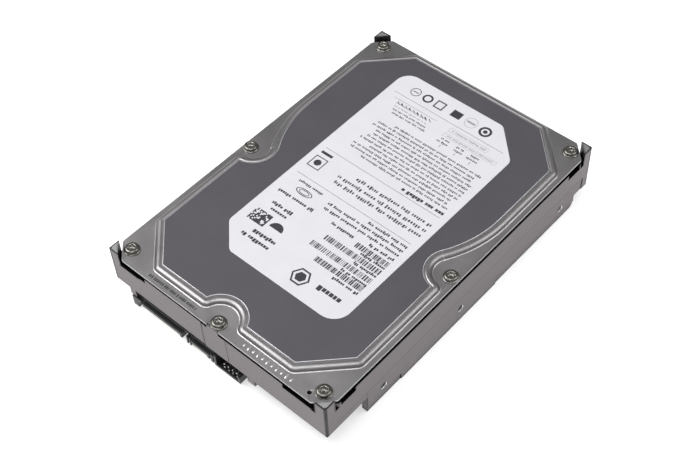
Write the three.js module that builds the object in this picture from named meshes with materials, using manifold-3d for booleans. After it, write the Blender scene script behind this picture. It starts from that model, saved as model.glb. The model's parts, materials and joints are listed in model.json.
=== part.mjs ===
// A 3.5-inch hard disk drive with SATA connectors, as the pieces it comes apart into.
// Millimetres. X is the width, Y the length with the connectors at -Y, Z is up.
// The origin is the middle of the footprint, on the plane that the two side rails stand on.
import * as THREE from "three";
import { mergeVertices } from "three/addons/utils/BufferGeometryUtils.js";
import Module from "manifold-3d";

const wasm = await Module();
wasm.setup();

// ---- Driving dimensions ----

const WIDTH = 101.6;
const LENGTH = 147;
const HEIGHT = 26.1;
const HALF_W = WIDTH / 2;
const HALF_L = LENGTH / 2;
const GAP = 0.05; // between two faces that rest on each other

// Heights of the casting.
const FLOOR_BOTTOM = 6.2;
const FLOOR_TOP = 8.8;
const SHELF_BOTTOM = 9.4; // the floor is higher over the connectors
const SHELF_TOP = 11;
const SHELF_Y = -51.5;
const RIM_Z = 22.5;
const WALL_X = 47.4;
const WALL_Y = -69.2;
const CORNER_R = 0.5;
const POST_LEG = 4.8; // along each side of a corner post's triangular top
const POST_SLOT = 1.8; // between a corner post and the cover
const SLOT_DEPTH = 2; // of the pry slots
const PAD_X = [-5.5, 6]; // the pad under the middle screw of the connector end

// Rails and their threaded holes, number 6-32, at the places of the 3.5-inch standard.
const RAIL_Y = [-53.4, 65.6];
const RAIL_THICKNESS = 2.8;
const RAIL_LIP_Z = 3; // below this the ends of the rail are milled back a little
const TAP_R = 1.6;
const SIDE_HOLE_Y = [-45, -3.4, 56.6];
const SIDE_HOLE_Z = 6.35;
const BOTTOM_HOLE_X = 47.625;
const BOTTOM_HOLE_Y = [-32.22, 12.23];

// Cover, damping plate and label.
const FLANGE_Z = [23.8, 24.4];
const PLATEAU_Z = 25.5;
const PLATE_Z = [25.52, 25.9];
const LABEL_Z = [25.92, 26.04];
const COVER_X = 50.6;
const COVER_Y = [-73.4, 73.1];
const COVER_CHAMFER = 6.1;
const RIDGE_WIDTH = 3.3; // from the damping plate's edge out to the foot of the ridge
const COVER_SCREWS = [
  [-45.2, -67.8],
  [45.2, -67.8],
  [0.5, -70.5],
  [-47.5, -5.9],
  [47.5, -5.9],
  [-45.2, 67.8],
  [45.2, 67.8],
];

// Disc pack.
const SPINDLE = [0, 23.5];
const DISC_CHAMBER_R = 48.5;
const PLATTER_R = 47.5;
const PLATTER_THICKNESS = 1.27;
const PLATTER_PITCH = 3.67;
const FIRST_PLATTER_Z = 11.4;
const PLATTERS = 3;
const HUB_R = 12.4;
const SPACER_R = 15.5;

// Head stack and its voice coil motor.
const PIVOT = [21, -30.5];
const HEAD_REACH = 49.5;
const PARKED_ANGLE = 130.75; // direction of the arms with the heads on the inner landing zone
const COIL_ANGLE = 296; // direction of the coil in the same pose
const ARM_THICKNESS = 1;
const COIL_Z = [15.4, 17.2];
const YOKE_THICKNESS = 2;
const LATCH_PIVOT = [15, -57.5];
const LATCH_OPEN = -12;

// Circuit board and connectors.
const BOARD_Z = [1.3, 2.9];
const BOARD_SCREWS = [
  [-34, -47],
  [34, -47],
  [27, 3],
];
const SATA_X = [-43.7, -2.8];
const CONNECTOR_Z = [0.1, 5.9];
const POWER_TONGUE_X = [-38.6, -18.4];
const DATA_TONGUE_X = [-13.4, -4.6];
const CONNECTOR_BACK_Y = -64;
const JUMPER_X = [-2.2, 10.2];

// ---- Materials ----

const finish = (color, roughness, metalness) =>
  new THREE.MeshStandardMaterial({ color, roughness, metalness });

const CAST_ALUMINIUM = [0x9b9594, 0.42, 0.9];
const STAMPED_STEEL = [0x807f7b, 0.34, 0.9];
const DARK_SHEET = [0x63646a, 0.38, 0.85];
const PAPER = [0xf1f0f6, 0.6, 0];
const NICKEL = [0xb9b6b0, 0.22, 1];
const RUBBER = [0x151515, 0.9, 0];
const BLACK_PLASTIC = [0x141416, 0.5, 0];
const POLISHED = [0xd6d8da, 0.06, 1];
const MACHINED = [0xb8babd, 0.3, 0.95];
const STAINLESS = [0xc4c4c2, 0.25, 1];
const COPPER = [0xb4683a, 0.35, 0.9];
const LAMINATION = [0x5b5a5c, 0.5, 0.8];
const MAGNET = [0x9fa1a6, 0.3, 0.9];
const POLYIMIDE = [0xa8702a, 0.45, 0];
const BOARD_GREEN = [0x1d4a34, 0.45, 0];
const CHIP_BLACK = [0x1b1b1d, 0.6, 0];
const FILTER_WHITE = [0xe6e4dc, 0.95, 0];
const FOAM = [0x2a2a2d, 0.98, 0];

// ---- Solids from three.js geometry ----

// A closed geometry as a solid that can be joined and cut.
function solid(geometry) {
  const bare = geometry.index ? geometry.toNonIndexed() : geometry.clone();
  bare.deleteAttribute("normal");
  bare.deleteAttribute("uv");
  const merged = mergeVertices(bare, 1e-4);
  return new wasm.Manifold(
    new wasm.Mesh({
      numProp: 3,
      vertProperties: merged.attributes.position.array,
      triVerts: new Uint32Array(merged.index.array),
    }),
  );
}

// The solid's surface as a geometry with flat faces.
function surface(body) {
  const mesh = body.getMesh();
  const geometry = new THREE.BufferGeometry();
  geometry.setAttribute("position", new THREE.BufferAttribute(mesh.vertProperties, 3));
  geometry.setIndex(new THREE.BufferAttribute(mesh.triVerts, 1));
  const flat = geometry.toNonIndexed();
  flat.computeVertexNormals();
  return flat;
}

const radians = (degrees) => THREE.MathUtils.degToRad(degrees);

// The point at a distance and a direction, in degrees, from a centre.
const polar = ([x, y], radius, degrees) => [
  x + radius * Math.cos(radians(degrees)),
  y + radius * Math.sin(radians(degrees)),
];

const join = (first, ...rest) => rest.reduce((a, b) => a.add(b), first);
const cut = (first, ...rest) => rest.reduce((a, b) => a.subtract(b), first);

function box(x, y, z) {
  const geometry = new THREE.BoxGeometry(x[1] - x[0], y[1] - y[0], z[1] - z[0]);
  geometry.translate((x[0] + x[1]) / 2, (y[0] + y[1]) / 2, (z[0] + z[1]) / 2);
  return solid(geometry);
}

function rod([x, y], radius, z, segments = 18) {
  const geometry = new THREE.CylinderGeometry(radius, radius, z[1] - z[0], segments);
  geometry.rotateX(Math.PI / 2).translate(x, y, (z[0] + z[1]) / 2);
  return solid(geometry);
}

// A round bar along X.
function crossRod(x, y, z, radius, segments = 12) {
  const geometry = new THREE.CylinderGeometry(radius, radius, x[1] - x[0], segments);
  geometry.rotateZ(Math.PI / 2).translate((x[0] + x[1]) / 2, y, z);
  return solid(geometry);
}

// A profile of [radius, height] points turned about a vertical line through a centre.
function turned([x, y], profile, segments = 28) {
  const points = profile.map(([r, z]) => new THREE.Vector2(r, z));
  return solid(new THREE.LatheGeometry(points, segments).rotateX(Math.PI / 2).translate(x, y, 0));
}

const ring = (centre, inner, outer, z, segments = 28) =>
  turned(
    centre,
    [
      [inner, z[0]],
      [outer, z[0]],
      [outer, z[1]],
      [inner, z[1]],
      [inner, z[0]],
    ],
    segments,
  );

function prism(shape, z, curveSegments = 8) {
  const options = { depth: z[1] - z[0], bevelEnabled: false, curveSegments };
  return solid(new THREE.ExtrudeGeometry(shape, options).translate(0, 0, z[0]));
}

const polygon = (points) => new THREE.Shape(points.map(([x, y]) => new THREE.Vector2(x, y)));

function roundedRectangle([x0, x1], [y0, y1], radius) {
  const shape = new THREE.Shape();
  shape.absarc(x1 - radius, y0 + radius, radius, -Math.PI / 2, 0);
  shape.absarc(x1 - radius, y1 - radius, radius, 0, Math.PI / 2);
  shape.absarc(x0 + radius, y1 - radius, radius, Math.PI / 2, Math.PI);
  shape.absarc(x0 + radius, y0 + radius, radius, Math.PI, 1.5 * Math.PI);
  return shape;
}

// A piece of a ring between two radii and two directions.
function sector([x, y], [inner, outer], [from, to]) {
  const shape = new THREE.Shape();
  shape.absarc(x, y, outer, radians(from), radians(to));
  shape.absarc(x, y, inner, radians(to), radians(from), true);
  return shape;
}

// A flat bar with round ends between two points.
function bar([x0, y0], [x1, y1], width) {
  const along = Math.atan2(y1 - y0, x1 - x0);
  const shape = new THREE.Shape();
  shape.absarc(x1, y1, width / 2, along - Math.PI / 2, along + Math.PI / 2);
  shape.absarc(x0, y0, width / 2, along + Math.PI / 2, along + 1.5 * Math.PI);
  return shape;
}

// ---- The drive, part by part ----

const drive = new THREE.Group();

function addPart(name, body, look) {
  const geometry = body.isBufferGeometry ? body : surface(body);
  const mesh = new THREE.Mesh(geometry, finish(...look));
  mesh.name = name;
  drive.add(mesh);
  return mesh;
}

// The damping plate's outline, as points with the direction that faces outwards there. The foot and the
// crest of the cover's ridge run parallel to it, so each is this outline pushed out by a distance.
function plateOutline(push) {
  const half = [];
  const add = (x, y, facing) => half.push(polar([x, y], push, facing));
  // A sharp corner of the plate, round in the outlines outside it.
  const corner = (x, y, from, to) => {
    const steps = push ? Math.ceil((to - from) / 25) : 0;
    for (let i = 0; i <= steps; i++) add(x, y, from + ((to - from) * i) / Math.max(steps, 1));
  };
  const arc = (centre, radius, from, to, hollow) => {
    const steps = Math.ceil(Math.abs(to - from) / 12);
    for (let i = 0; i <= steps; i++) {
      const angle = from + ((to - from) * i) / steps;
      add(...polar(centre, radius, angle), hollow ? angle + 180 : angle);
    }
  };
  const side = 45.4;
  const nearEnd = -66.2;
  const farEnd = 69.6;
  const notch = [0, -70.1]; // round the screw in the connector end
  const notchR = 10.2;
  const bump = [46.6, -4.8]; // round the screw in the long side
  const bumpR = 9.4;
  const disc = [0, 24]; // the long sides swell round the discs
  const notchEnd = THREE.MathUtils.radToDeg(Math.asin((nearEnd - notch[1]) / notchR));
  const bumpStart = THREE.MathUtils.radToDeg(Math.acos((bump[0] - side) / bumpR)) + 180;
  const bumpEnd = 148.3; // where it runs into the swell
  arc(notch, notchR, 90, notchEnd, true);
  corner(polar(notch, notchR, notchEnd)[0], nearEnd, notchEnd + 180, 270);
  corner(31.2, nearEnd, 270, 315);
  corner(side, -51.9, 315, 360);
  corner(side, polar(bump, bumpR, bumpStart)[1], 0, bumpStart - 180);
  arc(bump, bumpR, bumpStart, bumpEnd, true);
  arc(disc, side, bumpEnd - 180, 0, false);
  corner(side, 54.2, 0, 45);
  corner(30, farEnd, 45, 90);
  const mirrored = half.map(([x, y]) => [-x, y]).reverse();
  const all = [...half, ...mirrored];
  const near = (a, b) => Math.hypot(a[0] - b[0], a[1] - b[1]) < 0.01;
  return polygon(all.filter((p, i) => !near(p, all[(i + 1) % all.length])));
}

// The space that the discs and the head stack move in, grown outwards by a margin.
function chamber(margin, z) {
  const bay = box([-WALL_X - margin, WALL_X + margin], [WALL_Y - margin, 13], z);
  const discs = rod(SPINDLE, DISC_CHAMBER_R + margin, z, 54);
  const bosses = COVER_SCREWS.map((place) => rod(place, 4.6 - margin, z, 14));
  const [cornerX, cornerY] = COVER_SCREWS[1];
  const corners = [
    box([-60, -cornerX], [-80, cornerY], z),
    box([cornerX, 60], [-80, cornerY], z),
  ];
  return cut(join(bay, discs), ...bosses, ...corners);
}

function buildCasting() {
  const whole = [-60, 60];
  const mouth = [FLOOR_TOP, HEIGHT + 1];
  let body = prism(
    roundedRectangle([-HALF_W, HALF_W], [-HALF_L, HALF_L], CORNER_R),
    [FLOOR_BOTTOM, RIM_Z],
    3,
  );
  body = cut(body, chamber(0, mouth));
  // The shelf over the connectors, which carries the voice coil motor.
  const shelf = box([-WALL_X - 1, WALL_X + 1], [WALL_Y - 1, SHELF_Y], [FLOOR_TOP - 1, SHELF_TOP]);
  body = join(body, shelf);
  body = cut(body, box(whole, [-80, RAIL_Y[0]], [0, SHELF_BOTTOM]));
  // Two rails, thicker round the holes that open downwards and sideways.
  for (const side of [-1, 1]) {
    const across = (a, b) => [Math.min(side * a, side * b), Math.max(side * a, side * b)];
    body = join(body, box(across(HALF_W - RAIL_THICKNESS, HALF_W), RAIL_Y, [0, FLOOR_TOP - 1]));
    const reach = box(across(40, HALF_W), RAIL_Y, [0, FLOOR_TOP - 1]);
    for (const y of BOTTOM_HOLE_Y)
      body = join(body, rod([side * BOTTOM_HOLE_X, y], 4.4, [0, FLOOR_TOP - 1], 16).intersect(reach));
    for (const y of SIDE_HOLE_Y)
      body = join(body, box(across(44.4, HALF_W - 1), [y - 3.6, y + 3.6], [2.6, FLOOR_TOP - 1]));
    for (const y of BOTTOM_HOLE_Y)
      body = cut(body, rod([side * BOTTOM_HOLE_X, y], TAP_R, [-1, 5.6], 12));
    for (const y of SIDE_HOLE_Y)
      body = cut(body, crossRod(across(45.8, HALF_W + 1), y, SIDE_HOLE_Z, TAP_R));
    // The milled lower face of the side, a little inside the cast face above it.
    body = cut(body, box(across(HALF_W - 0.2, HALF_W + 1), [RAIL_Y[0] - 0.01, 70], [-1, 12.3]));
    // The rounded far end of the rail.
    const heel = cut(
      box(across(40, HALF_W + 1), [RAIL_Y[1] - 2, RAIL_Y[1] + 1], [-1, 2]),
      crossRod(across(39, HALF_W + 2), RAIL_Y[1] - 2, 2, 2, 24),
    );
    body = cut(body, heel);
    for (const y of [
      [RAIL_Y[0] - 1, -36],
      [17.3, RAIL_Y[1] + 1],
    ])
      body = cut(body, box(across(HALF_W - 0.5, HALF_W + 1), y, [-1, RAIL_LIP_Z]));
    // Pry slots in the rim of the long side.
    for (const [y0, y1, z] of [
      [-66, -59, 20.5],
      [59.3, 66.4, 20],
    ])
      body = cut(body, box(across(HALF_W - SLOT_DEPTH, HALF_W + 1), [y0, y1], [z, RIM_Z + 1]));
  }
  // Pry slots in the rim of the connector end.
  for (const [x0, x1, z] of [
    [32, 45, 20.5],
    [-46.8, -37, 19.7],
    [-37.1, -33.5, 20.3],
  ])
    body = cut(body, box([x0, x1], [-HALF_L - 1, -HALF_L + SLOT_DEPTH], [z, RIM_Z + 1]));
  // Corner posts that stand level with the top of the drive, with a slot between post and cover.
  for (const [sx, sy] of [
    [-1, -1],
    [1, -1],
    [1, 1],
    [-1, 1],
  ]) {
    const corner = (leg) =>
      polygon([
        [sx * HALF_W, sy * HALF_L],
        [sx * (HALF_W - leg), sy * HALF_L],
        [sx * HALF_W, sy * (HALF_L - leg)],
      ]);
    const z = [RIM_Z - 2.5, HEIGHT];
    const rounded = prism(roundedRectangle([-HALF_W, HALF_W], [-HALF_L, HALF_L], CORNER_R), z, 3);
    body = cut(body, prism(corner(POST_LEG + POST_SLOT), z));
    body = join(body, prism(corner(POST_LEG), [z[0] - 1, HEIGHT]).intersect(join(rounded, body)));
  }
  // The connector end is set back beside a pad under the middle screw, with a groove between them.
  const wholeHeight = [0, HEIGHT + 1];
  body = cut(
    body,
    box([-HALF_W - 1, PAD_X[0]], [-HALF_L - 1, -HALF_L + 0.2], wholeHeight),
    box([PAD_X[1], HALF_W + 1], [-HALF_L - 1, -HALF_L + 0.06], wholeHeight),
    box([PAD_X[0] - 0.2, PAD_X[0] + 0.2], [-HALF_L - 1, -HALF_L + 0.7], wholeHeight),
  );
  // A lug beside the middle screw, a tab over the end of the connector and a foot beside the jumpers.
  body = join(body, box([-2.6, 2.9], [-HALF_L, -HALF_L + 0.7], [RIM_Z - 2, FLANGE_Z[1]]));
  body = join(body, box([-44, -41], [-HALF_L + 0.2, -71], [6.1, SHELF_BOTTOM + 1]));
  body = join(body, box([14.4, 17.9], [-HALF_L + 0.2, -70], [6.5, SHELF_BOTTOM + 1]));
  // Round opening for the motor, with a raised collar below.
  body = join(body, rod(SPINDLE, 17.5, [5.6, FLOOR_BOTTOM + 1], 28));
  body = cut(body, rod(SPINDLE, 14, [0, FLOOR_TOP + 1], 28));
  // Shallow pockets between ribs, in the underside round the motor.
  for (let i = 0; i < 5; i++) {
    const from = 4 + i * 35;
    body = cut(body, prism(sector(SPINDLE, [21, 40.5], [from, from + 32]), [0, 7.2], 5));
  }
  body = cut(body, box([-43, 43], [67, 71], [0, 7.6]).subtract(rod(SPINDLE, 50, [0, 20], 54)));
  // Standoffs that the circuit board is screwed to.
  for (const place of BOARD_SCREWS) {
    body = join(body, rod(place, 3, [BOARD_Z[1] + GAP, FLOOR_BOTTOM + 1], 12));
    body = cut(body, rod(place, 1.25, [0, FLOOR_TOP - 0.8], 8));
  }
  // Tapped holes for the cover's screws, and the vent under the breather filter.
  for (const place of COVER_SCREWS) body = cut(body, rod(place, 1.5, [15.5, HEIGHT], 10));
  body = cut(body, rod([-30, -44], 0.8, [0, FLOOR_TOP + 1], 10));
  return body;
}

function coverSheet(chamfer) {
  return polygon([
    [-COVER_X + chamfer, COVER_Y[0]],
    [COVER_X - chamfer, COVER_Y[0]],
    [COVER_X, COVER_Y[0] + chamfer],
    [COVER_X, COVER_Y[1] - chamfer],
    [COVER_X - chamfer, COVER_Y[1]],
    [-COVER_X + chamfer, COVER_Y[1]],
    [-COVER_X, COVER_Y[1] - chamfer],
    [-COVER_X, COVER_Y[0] + chamfer],
  ]);
}

function buildCover() {
  const slope = 0.9; // the ridge's side leans in by this much over its height
  const flange = prism(coverSheet(COVER_CHAMFER), FLANGE_Z);
  const options = {
    depth: PLATEAU_Z - slope - 20,
    bevelThickness: slope,
    bevelSize: slope,
    bevelSegments: 1,
  };
  const crest = plateOutline(RIDGE_WIDTH - 2 * slope);
  let raised = solid(new THREE.ExtrudeGeometry(crest, options).translate(0, 0, 20));
  raised = raised.intersect(box([-60, 60], [-80, 80], [FLANGE_Z[0], HEIGHT]));
  let body = join(flange, raised);
  body = cut(body, prism(plateOutline(RIDGE_WIDTH - slope - 1), [0, PLATEAU_Z - 0.8]));
  for (const place of COVER_SCREWS) body = cut(body, rod(place, 1.75, [20, 30], 12));
  body = cut(body, rod([41.7, -70.8], 0.85, [20, 30], 12)); // tooling hole
  return cut(body, box([-2.9, 3.2], [-80, -HALF_L + 1], [20, 30])); // relief round the casting's lug
}

function buildLabel() {
  const [x0, x1, y0, y1] = [-27.8, 32, -47, 61.5];
  const shape = new THREE.Shape();
  const nearCut = 10;
  const farCut = 13;
  shape.moveTo(x0 + nearCut, y0);
  shape.lineTo(x1 - 7, y0);
  shape.absarc(x1 - 7, y0 + 7, 7, -Math.PI / 2, 0);
  shape.lineTo(x1, y1 - farCut);
  shape.lineTo(x1 - farCut, y1);
  shape.absarc(x0 + 6, y1 - 6, 6, Math.PI / 2, Math.PI);
  shape.lineTo(x0, y0 + nearCut);
  return prism(shape, LABEL_Z, 6);
}

// A pan-head screw, its head standing on z = 0, with a six-lobed socket.
function screw(headR, headHeight, shankR, shankLength, socketR, segments) {
  const body = turned(
    [0, 0],
    [
      [0, -shankLength],
      [shankR, -shankLength],
      [shankR, 0],
      [headR, 0],
      [headR, headHeight * 0.6],
      [headR * 0.82, headHeight],
      [0, headHeight],
    ],
    segments,
  );
  const lobes = Array.from({ length: 12 }, (_, i) =>
    polar([0, 0], i % 2 ? socketR * 0.74 : socketR, i * 30),
  );
  return surface(cut(body, prism(polygon(lobes), [headHeight * 0.35, headHeight + 1])));
}

function addScrews(name, places, z, geometry, look) {
  places.forEach(([x, y], i) => {
    const mesh = addPart(name + "_" + (i + 1), geometry, look);
    mesh.position.set(x, y, z);
  });
}

function addEnclosure() {
  addPart("base_casting", buildCasting(), CAST_ALUMINIUM);
  const seal = [RIM_Z + GAP, FLANGE_Z[0] - GAP];
  addPart("cover_gasket", cut(chamber(1, seal), chamber(0.2, [20, 30])), RUBBER);
  addPart("top_cover", buildCover(), STAMPED_STEEL);
  addPart("damping_plate", prism(plateOutline(0), PLATE_Z), DARK_SHEET);
  addPart("drive_label", buildLabel(), PAPER);
  const coverScrew = screw(2.95, 1.48, 1.35, 7, 1.5, 16);
  addScrews("cover_screw", COVER_SCREWS, FLANGE_Z[1] + 0.02, coverScrew, NICKEL);
}

function addSpindle() {
  const platterZ = (i) => FIRST_PLATTER_Z + i * PLATTER_PITCH;
  const discTop = platterZ(PLATTERS - 1) + PLATTER_THICKNESS;
  const hubTop = discTop - 0.1;
  const webBottom = 16.4;
  const shaftR = 2;
  const sleeveTop = 15.8;
  // Fixed half of the motor: a flange that closes the casting's opening, with the bearing sleeve.
  const flange = turned(SPINDLE, [
    [shaftR + GAP, 7],
    [shaftR + GAP, sleeveTop],
    [4.4, sleeveTop],
    [4.4, 8.2],
    [13.9, 8.2],
    [13.9, 6.3],
    [6, 6.3],
    [6, 5.6],
    [3, 5.6],
    [3, 7],
    [shaftR + GAP, 7],
  ].reverse());
  addPart("motor_flange", flange, MACHINED);
  let stator = ring(SPINDLE, 4.5, 6.2, [10.2, 14.8], 24);
  for (let i = 0; i < 9; i++) {
    const [from, to] = [i * 40 - 8, i * 40 + 8];
    stator = join(stator, prism(sector(SPINDLE, [5.5, 9.3], [from, to]), [10.2, 14.8], 2));
  }
  addPart("stator_core", stator, LAMINATION);

  // Everything below turns with the discs.
  const shaft = turned(SPINDLE, [
    [0, 7.2],
    [shaftR, 7.2],
    [shaftR, hubTop - 0.3],
    [0, hubTop - 0.3],
  ], 24);
  addPart("motor_shaft", shaft, STAINLESS);
  let hub = turned(SPINDLE, [
    [11.2, 9],
    [15.8, 10.2],
    [15.8, FIRST_PLATTER_Z - GAP],
    [HUB_R, FIRST_PLATTER_Z - GAP],
    [HUB_R, hubTop],
    [shaftR + 0.02, hubTop],
    [shaftR + 0.02, webBottom],
    [11.2, webBottom],
    [11.2, 9],
  ]);
  const clampScrews = [0, 1, 2].map((i) => polar(SPINDLE, 8, 30 + i * 120));
  for (const place of clampScrews) hub = cut(hub, rod(place, 1.1, [17.2, 30], 10));
  addPart("spindle_hub", hub, MACHINED);
  addPart("rotor_magnet", ring(SPINDLE, 9.9, 11.1, [9.8, 15.6]), MAGNET);
  for (let i = 0; i < PLATTERS; i++) {
    const z = [platterZ(i), platterZ(i) + PLATTER_THICKNESS];
    addPart("platter_" + (i + 1), ring(SPINDLE, HUB_R + GAP, PLATTER_R, z, 48), POLISHED);
  }
  for (let i = 0; i + 1 < PLATTERS; i++) {
    const z = [platterZ(i) + PLATTER_THICKNESS + 0.03, platterZ(i + 1) - 0.03];
    addPart("platter_spacer_" + (i + 1), ring(SPINDLE, HUB_R + GAP, SPACER_R, z), MACHINED);
  }
  let clamp = turned(SPINDLE, [
    [4.6, discTop + GAP],
    [SPACER_R, discTop + GAP],
    [SPACER_R, discTop + 0.7],
    [12.5, discTop + 1.3],
    [4.6, discTop + 1.3],
    [4.6, discTop + GAP],
  ]);
  for (const place of clampScrews) clamp = cut(clamp, rod(place, 1.2, [15, 30], 10));
  addPart("disk_clamp", clamp, STAINLESS);
  const clampScrew = screw(2.1, 1, 0.9, 3.4, 1, 10);
  addScrews("clamp_screw", clampScrews, discTop + 1.35, clampScrew, NICKEL);
}

// A piece of the head stack, drawn with its arm along +X from the pivot, turned to where it is parked.
function parked(geometry, angle) {
  return geometry.rotateZ(radians(angle)).translate(PIVOT[0], PIVOT[1], 0);
}

function addHeadStack() {
  const hubZ = [9.3, 22.3];
  const armZ = (i) => FIRST_PLATTER_Z - 1.2 + i * PLATTER_PITCH;
  const shaftR = 2.4;
  const bearingR = 6.4;
  const shaft = turned(PIVOT, [
    [0, FLOOR_TOP + GAP],
    [4.4, FLOOR_TOP + GAP],
    [4.4, 9.2],
    [shaftR, 9.2],
    [shaftR, 22.9],
    [0, 22.9],
  ], 24);
  addPart("pivot_shaft", shaft, STAINLESS);
  addPart("pivot_bearing", ring(PIVOT, shaftR + GAP, bearingR, [hubZ[0] + 0.2, 22.1], 24), NICKEL);

  const origin = [0, 0];
  let block = rod(origin, 8.5, hubZ, 24);
  const armOutline = polygon([
    [0, -7.2],
    [9, -6.4],
    [31, -2.8],
    [31, 2.8],
    [9, 6.4],
    [0, 7.2],
  ]);
  for (let i = 0; i <= PLATTERS; i++) {
    const z = [armZ(i) - ARM_THICKNESS / 2, armZ(i) + ARM_THICKNESS / 2];
    block = join(block, cut(prism(armOutline, z), rod([18, 0], 2.4, [0, 30], 10)));
  }
  block = cut(block, rod(origin, bearingR + GAP, [0, 30], 24));
  addPart("actuator_arm", parked(surface(block), PARKED_ANGLE), MACHINED);

  // One suspension on each face of an arm that looks at a disc, with the head's slider at its tip.
  const beam = polygon([
    [23.5, -2.5],
    [32, -2.5],
    [46, -0.9],
    [50.5, -0.6],
    [50.5, 0.6],
    [46, 0.9],
    [32, 2.5],
    [23.5, 2.5],
  ]);
  const sheet = 0.25;
  for (let i = 0; i < 2 * PLATTERS; i++) {
    const up = i % 2 ? -1 : 1;
    const arm = armZ((i + 1) >> 1);
    const face = arm + up * (ARM_THICKNESS / 2 + 0.02);
    const levels = (a, b) => [face + up * a, face + up * b].sort((p, q) => p - q);
    const slider = box([HEAD_REACH - 1, HEAD_REACH + 0.2], [-0.5, 0.5], levels(sheet / 2, 0.6));
    const suspension = join(prism(beam, levels(0, sheet)), slider);
    addPart("head_suspension_" + (i + 1), parked(surface(suspension), PARKED_ANGLE), STAINLESS);
  }

  // The coil and the moulded frame that carries it.
  const coilR = [13.5, 25.3];
  const coil = cut(
    prism(sector(origin, coilR, [-15, 15]), COIL_Z, 8),
    prism(sector(origin, [coilR[0] + 2.9, coilR[1] - 2.9], [-8, 8]), [0, 30], 6),
  );
  addPart("voice_coil", parked(surface(coil), COIL_ANGLE), COPPER);
  const frameZ = [COIL_Z[0] - 0.05, COIL_Z[1] + 0.05];
  let frame = prism(sector(origin, [8.65, 26.4], [-18.5, 18.5]), frameZ, 8);
  frame = join(frame, prism(bar([25.5, -7.9], [27.6, -8.6], 1.6), frameZ, 4));
  frame = cut(
    frame,
    prism(sector(origin, [coilR[0] - 0.1, coilR[1] + 0.1], [-15.4, 15.4]), [0, 30], 8),
  );
  addPart("coil_frame", parked(surface(frame), COIL_ANGLE), BLACK_PLASTIC);

  // Flat cable from the fixed bracket to the preamplifier on the side of the arm block.
  const preamp = box([8.6, 9.6], [-4, 4], [12, 20]);
  addPart("preamp_board", parked(surface(preamp), 205), POLYIMIDE);
  const route = new THREE.CatmullRomCurve3(
    [polar(PIVOT, 10, 205), [8.6, -38.6], [3.5, -42], [-1, -46.6], [-5.5, -52.3]].map(
      ([x, y]) => new THREE.Vector3(x, y, 0),
    ),
  );
  const strip = [];
  const steps = 12;
  const halfThickness = 0.12;
  for (let i = 0; i <= steps; i++) {
    const p = route.getPointAt(i / steps);
    const t = route.getTangentAt(i / steps);
    strip.push([p.x - t.y * halfThickness, p.y + t.x * halfThickness]);
    strip.unshift([p.x + t.y * halfThickness, p.y - t.x * halfThickness]);
  }
  addPart("flex_cable", prism(polygon(strip), [12.8, 19.2]), POLYIMIDE);
  const bracket = cut(
    box([-15.5, -6], [-62, -52.6], [SHELF_TOP + GAP, 19.6]),
    box([-20, -9], [-60, -50], [14, 30]),
  );
  addPart("flex_bracket", bracket, BLACK_PLASTIC);
}

function addVoiceCoilMotor() {
  const lowerYoke = [SHELF_TOP + GAP, SHELF_TOP + GAP + YOKE_THICKNESS];
  const lowerMagnet = [lowerYoke[1] + GAP, COIL_Z[0] - 0.35];
  const upperMagnet = [COIL_Z[1] + 0.35, 19.5];
  const upperYoke = [upperMagnet[1] + GAP, upperMagnet[1] + GAP + YOKE_THICKNESS];
  const postsAt = [
    [32.5, 290],
    [35, 311],
    [23, 356],
  ];
  const posts = postsAt.map((place) => polar(PIVOT, ...place));
  const bay = box([0, 46.9], [WALL_Y + 0.5, 0], [0, 30]);
  const plate = (z) => {
    let body = prism(sector(PIVOT, [11.8, 29.5], [268, 350]), z, 10);
    for (const [reach, angle] of postsAt) {
      const ear = bar(polar(PIVOT, reach - 9, angle), polar(PIVOT, reach, angle), 6);
      body = join(body, prism(ear, z, 5));
    }
    return body.intersect(bay);
  };
  const stand = posts.map((place) => rod(place, 1.5, [lowerYoke[0], upperYoke[0] - GAP], 10));
  addPart("vcm_lower_yoke", join(plate(lowerYoke), ...stand), NICKEL);
  addPart("vcm_upper_yoke", plate(upperYoke), NICKEL);
  const magnet = sector(PIVOT, [12.5, 26.6], [279, 343.5]);
  addPart("vcm_lower_magnet", prism(magnet, lowerMagnet, 10), MAGNET);
  addPart("vcm_upper_magnet", prism(magnet, upperMagnet, 10), MAGNET);
  const stopZ = [lowerYoke[1] + GAP, upperYoke[0] - GAP];
  addPart("inner_crash_stop", rod(polar(PIVOT, 20.5, 272.2), 1.5, stopZ, 16), RUBBER);
  addPart("outer_crash_stop", rod(polar(PIVOT, 20.5, 349.4), 1.5, stopZ, 16), RUBBER);
}

function addLatch() {
  const pin = turned(LATCH_PIVOT, [
    [0, SHELF_TOP + GAP],
    [2.2, SHELF_TOP + GAP],
    [2.2, COIL_Z[0] - 0.3],
    [1, COIL_Z[0] - 0.3],
    [1, 18],
    [0, 18],
  ], 20);
  addPart("latch_pin", pin, STAINLESS);
  const z = [COIL_Z[0], COIL_Z[1] - 0.2];
  const origin = [0, 0];
  const elbow = [7, -5];
  const heel = [13, -4.2];
  let latch = join(
    rod(origin, 2.4, z, 20),
    prism(bar(origin, elbow, 1.8), z, 3),
    prism(bar(elbow, heel, 1.6), z, 3),
    prism(bar(heel, [12.6, -1.4], 1.3), z, 3),
    prism(bar(origin, [-3.6, 1.6], 2.6), z, 3),
  );
  latch = cut(latch, rod(origin, 1.06, [0, 30], 20));
  const geometry = surface(latch).rotateZ(radians(LATCH_OPEN));
  addPart("actuator_latch", geometry.translate(LATCH_PIVOT[0], LATCH_PIVOT[1], 0), BLACK_PLASTIC);
}

function addFilters() {
  const packet = box([-2, 2], [-7, 7], [FLOOR_TOP + GAP, 20]);
  const geometry = surface(packet).rotateZ(radians(-38)).translate(-41, -27, 0);
  addPart("recirculation_filter", geometry, FILTER_WHITE);
  addPart("breather_filter", rod([-30, -44], 6, [FLOOR_TOP + GAP, 11.4]), FILTER_WHITE);
}

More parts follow.
